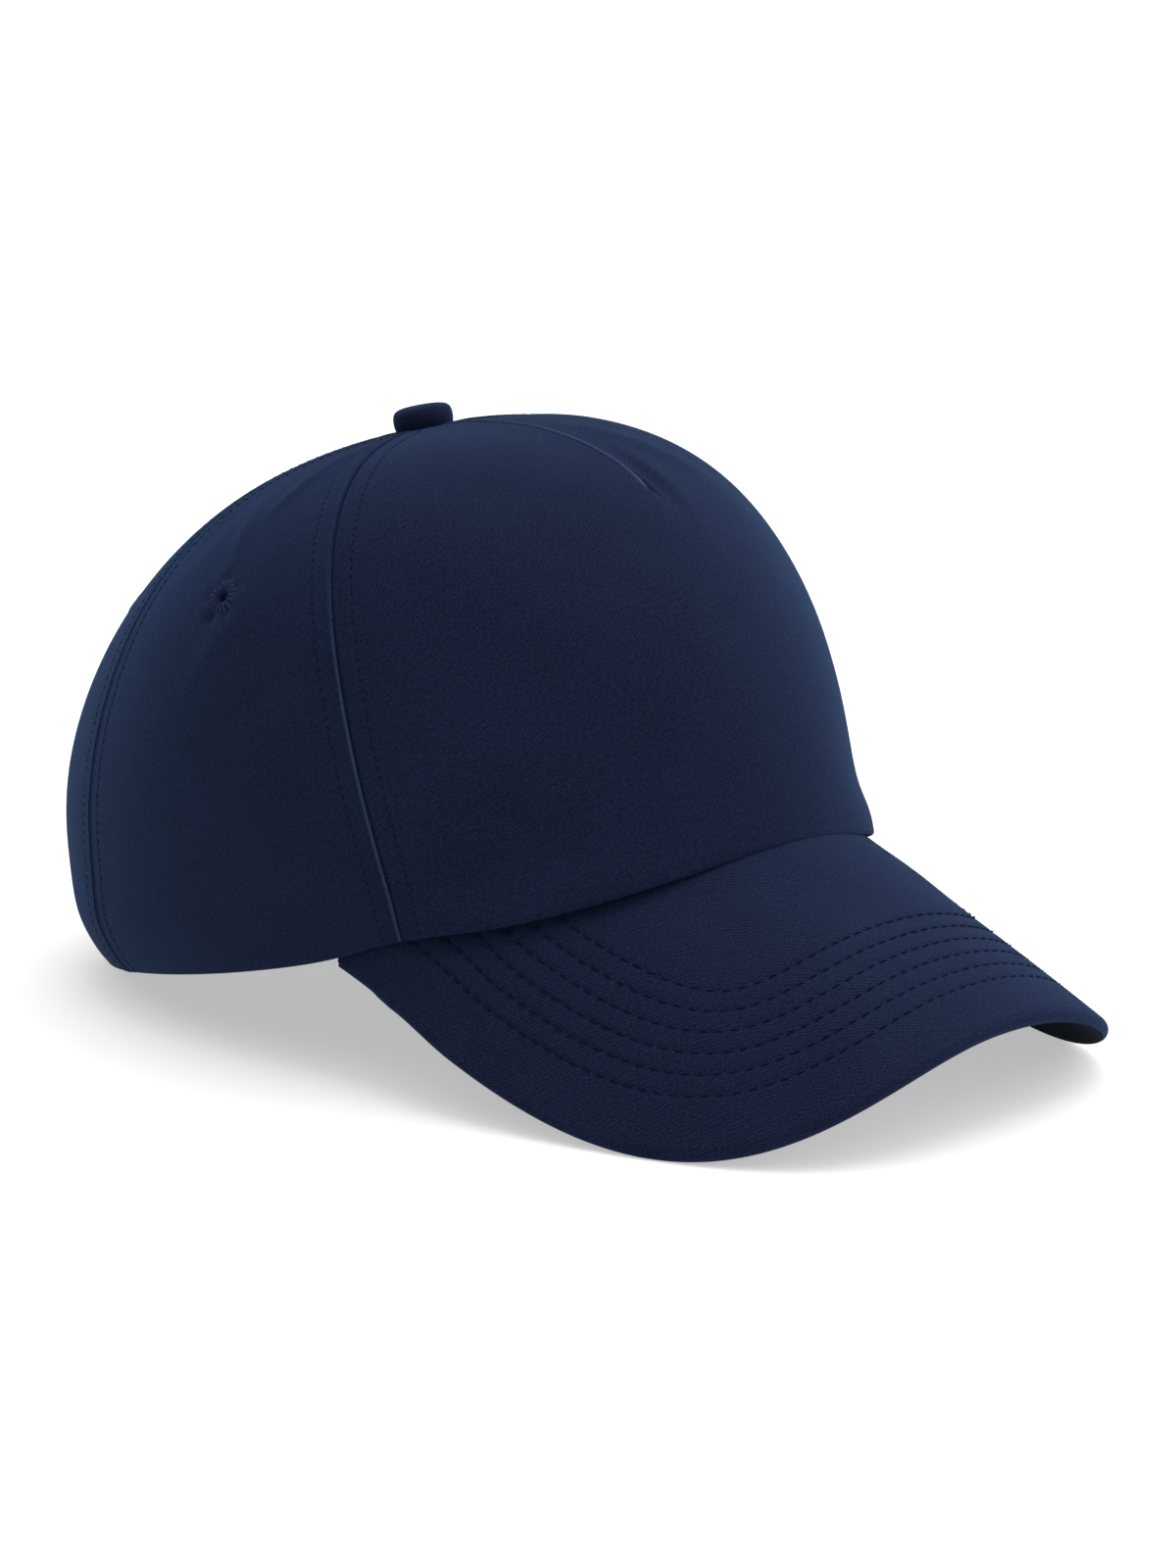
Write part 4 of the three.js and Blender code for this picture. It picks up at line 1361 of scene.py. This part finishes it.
sweatband = make_sweatband()
band_rows = Rows()
for rise in BAND_ROWS:
    band_rows.add(*band_row(rise), pitch=3.4, length=2.7)
band_rows.thread("sweatband_stitching", lift=0.2)


def foam_place(u, v):
    angle = math.radians(52) * (2 * u - 1) + 0 * v
    return angle, climb_at(angle, mix(1.5, 28.0, v))


foam = lining("sweatband_foam", foam_place, 160, 24, FOAM_DEPTHS, FOAM, waves=0.15,
              roll=0.6)


# ---- rear closure ----
STRAP_DEPTH = {"over": 3.4, "under": 7.5, "loop_tape": 4.75, "hook_tape": 6.4}


def steady(depth):
    """A strap's depth inside the crown that is the same all along it."""
    return lambda x: np.full_like(x, depth)


def under_strap_depth(x):
    """The under strap dives behind the over strap."""
    return mix(STRAP_DEPTH["over"], STRAP_DEPTH["under"], smooth(-32, -23, x))


def strap_place(x, across, height, narrowing, depth):
    middle = STRAP["lift"] + STRAP["height"] / 2
    angle, climb = back_place(x, middle + across * (height / 2 - narrowing))
    return in_crown(angle, climb, depth), crown_normal(angle, climb)


def tip_narrowing(x, tip, radius):
    rest = 1 - np.clip(np.abs(tip - x) / radius, 0, 1)
    return radius * (1 - np.sqrt(1 - rest ** 2))


def band_piece(name, ends, height, tip_radius, depth_at, thickness, material, relief=None,
               columns=150, rows=34, round_both=False, surface=None):
    """A flat strip across the back, rounded at its far end and with softly rounded edges. relief
    shapes its outer face by the place in space, and surface by the place on the flat strip."""
    first, last = ends
    x = (last + (first - last) * (1 - np.linspace(0, 1, columns)) ** 1.25)[:, None]
    across = np.sin(np.linspace(-math.pi / 2, math.pi / 2, rows))[None, :]
    x, across = np.broadcast_arrays(x, across)
    narrowing = tip_narrowing(x, last, tip_radius)
    if round_both:
        narrowing = np.maximum(narrowing, tip_narrowing(x, first, tip_radius))
    border = np.minimum((1 - np.abs(across)) * height / 2, np.abs(x - last))
    soft = 0.35 * thickness * (1 - np.sqrt(1 - (1 - np.clip(border / 0.9, 0, 1)) ** 2))
    depth = depth_at(x)
    outer, normal = strap_place(x, across, height, narrowing, depth + soft)
    inner = strap_place(x, across, height, narrowing, depth + thickness - soft)[0]
    if relief is not None:
        outer = outer + normal * relief(outer)[..., None]
    above = across * height / 2
    if surface is not None:
        outer = outer + normal * (surface(x, above) * smooth(0.2, 1.2, border))[..., None]
    return new_shell(name, outer, inner, material, np.stack([x, above], -1), body=None)


def edge_rows(first, last, depth_at):
    """Stitching that runs along a strap, round its tip and back."""
    inset, height = 2.0, STRAP["height"]
    rows = Rows()
    x = last + (first - last) * (1 - np.linspace(0, 1, 500)) ** 1.6
    tip = last + np.sign(first - last) * inset
    x = np.where(np.abs(x - last) < inset, tip, x)
    half = height / 2 - inset - tip_narrowing(x, tip, STRAP["tip_round"] - inset)
    across = np.concatenate([half, -half[::-1]]) / (height / 2)
    path = np.concatenate([x, x[::-1]])
    points, normals = strap_place(path, across, height, 0.0, depth_at(path))
    keep = np.concatenate([[True], np.linalg.norm(np.diff(points, axis=0), axis=-1) > 0.01])
    rows.add(points[keep], normals[keep], pitch=2.9, length=2.3, radius=0.18)
    return rows


def strap_point(x):
    """The middle of a strap, across and through, at this distance from the centre line."""
    place, depth = np.array([float(x)]), STRAP_DEPTH["over"] + 0.5
    return to_row(strap_place(place, 0 * place, STRAP["height"], 0.0, depth)[0][0])


def hinged(piece, side):
    """Bakes the placing of a strap, or of what is on it, into its mesh. The points either side of
    its hinge on the crown are worked out but not used; nothing is bent.
    """
    start = strap_point(side * (STRAP["hinge_x"] + 1.6))
    end = strap_point(side * (STRAP["hinge_x"] - 1.6))
    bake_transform(piece)


for name, end_body, side, depth_at in (
        ("over_strap", "over_strap_end", 1, steady(STRAP_DEPTH["over"])),
        ("under_strap", "under_strap_end", -1, under_strap_depth)):
    ends = (side * STRAP["root_end"], -side * STRAP["tip"])
    edging = edge_rows(*ends, depth_at)
    strap = band_piece(name, ends, STRAP["height"], STRAP["tip_round"], depth_at, 1.0, TWILL,
                       relief=edging.relief)
    stitching = edging.thread(f"{name}_stitching", lift=0.1, body=None)
    hinged(strap, side)
    hinged(stitching, side)
    stands_for(strap, name, f"{name}_root")


def hooks(x, y):
    """Rows of small moulded hooks."""
    return 0.55 * (np.sin(x * math.pi / 1.3) * np.sin(y * math.pi / 1.3)) ** 4


def pile(x, y):
    """A short tangled pile."""
    along, up = np.sin(x * 5.1 + np.sin(y * 3.7) * 2), np.sin(y * 6.3 + np.sin(x * 2.9) * 2)
    return 0.14 * along * up + 0.1


def grip_tape(name, ends, material, surface, body):
    """A tape that grips the other strap's, narrower than the strap and rounded at both ends."""
    tape = band_piece(name, ends, STRAP["height"] - 3, 5.0, steady(STRAP_DEPTH[name]), 0.8,
                      material, columns=190, rows=96, round_both=True, surface=surface)
    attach(tape, body)
    stands_for(tape, name)


grip_tape("loop_tape", (17, -14), LOOP_PILE, pile, "over_strap_end")
grip_tape("hook_tape", (-17, 14), HOOK, hooks, "under_strap_end")


# ---- size label ----
def label_place(u, v):
    middle = math.radians(LABEL["angle"])
    half = LABEL["width"] / 2 / spread(middle, climb_at(middle, LABEL["lift"]))
    angle = middle + half * (2 * u - 1) + 0 * v
    return angle, climb_at(angle, LABEL["lift"] + v * LABEL["height"])


label = lining("size_label", label_place, 40, 30, LABEL_DEPTHS, SATIN, waves=0.1,
               roll=0.1, body="label_flap")


# ---- CAD pieces that keep their shape ----
for node in ("button_shell", "button_rivet", "button_washer"):
    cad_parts[node].material_slots[0].material = STEEL


# ---- studio ----
def level_square(name, half):
    mesh = bpy.data.meshes.new(name)
    mesh.from_pydata([(-half, -half, 0), (half, -half, 0), (half, half, 0), (-half, half, 0)], [],
                     [(0, 1, 2, 3)])
    piece = bpy.data.objects.new(name, mesh)
    bpy.context.scene.collection.objects.link(piece)
    return piece


def paper():
    """Plain pale paper, lit a little from within so that it comes out nearly white."""
    n = Nodes("studio_paper")
    tone = n.noise(n.solid_place(), 30, 2)
    return n.surface(n.shades(tone, (0.58, 0.58, 0.58), (0.60, 0.60, 0.60)), roughness=0.9,
                     specular_ior_level=0.1, emission_color=(1, 1, 1, 1), emission_strength=0.47)


floor = level_square("studio_floor", 40.0)
floor.data.materials.append(paper())

AZIMUTH, ELEVATION = math.radians(-46.94), math.radians(12.96)
BACK = Vector((math.sin(AZIMUTH) * math.cos(ELEVATION), -math.cos(AZIMUTH) * math.cos(ELEVATION),
               math.sin(ELEVATION)))
RIGHT = Vector((math.cos(AZIMUTH), math.sin(AZIMUTH), 0.0))
UP = BACK.cross(RIGHT)
MIDDLE = Vector((0.0, 0.0001, 0.08136))  # the place in the crown that the camera stands off from


def aim(thing, target):
    thing.rotation_euler = (target - thing.location).to_track_quat("-Z", "Y").to_euler()


camera = bpy.data.objects.new("camera", bpy.data.cameras.new("camera"))
camera.location = MIDDLE + BACK * 1.474
camera.data.sensor_width = 36.0
camera.data.sensor_fit = "HORIZONTAL"
camera.data.lens = 189.3
camera.data.clip_end = 100.0
aim(camera, MIDDLE + RIGHT * 0.0072 - UP * 0.0229)
bpy.context.scene.collection.objects.link(camera)
bpy.context.scene.camera = camera


def softbox(name, across, up, back, size, power):
    """A square lamp placed from the camera's point of view, in metres from the cap."""
    lamp = bpy.data.lights.new(name, "AREA")
    lamp.shape = "RECTANGLE"
    lamp.size, lamp.size_y = size
    lamp.energy = power
    box = bpy.data.objects.new(name, lamp)
    flat_back = Vector((BACK.x, BACK.y, 0)).normalized()
    box.location = MIDDLE + RIGHT * across + Vector((0, 0, up)) + flat_back * back
    aim(box, MIDDLE)
    bpy.context.scene.collection.objects.link(box)


softbox("overhead", 0.3, 2.4, -0.4, (2.6, 2.2), 40)
softbox("right_back", 2.0, 1.0, -1.3, (1.0, 1.6), 14)
softbox("left_back", -2.0, 0.9, -1.6, (0.8, 1.4), 8)

world = bpy.data.worlds.new("studio")
world.use_nodes = True
sky = world.node_tree
facing = sky.nodes.new("ShaderNodeTexCoord")
toward = sky.nodes.new("ShaderNodeVectorMath")
toward.operation = "DOT_PRODUCT"
toward.inputs[1].default_value = (*(RIGHT * 0.42 + Vector((0, 0, 0.9)) - BACK * 0.1),)
brighter = sky.nodes.new("ShaderNodeMapRange")
brighter.interpolation_type = "SMOOTHSTEP"
for socket, value in (("From Min", -0.1), ("From Max", 0.95), ("To Min", 0.12), ("To Max", 1.25)):
    brighter.inputs[socket].default_value = value
sky.links.new(facing.outputs["Generated"], toward.inputs[0])
sky.links.new(toward.outputs["Value"], brighter.inputs["Value"])
sky.links.new(brighter.outputs["Result"], sky.nodes["Background"].inputs["Strength"])
sky.nodes["Background"].inputs["Color"].default_value = (1, 1, 1, 1)
bpy.context.scene.world = world
bpy.context.scene.view_settings.view_transform = "Standard"
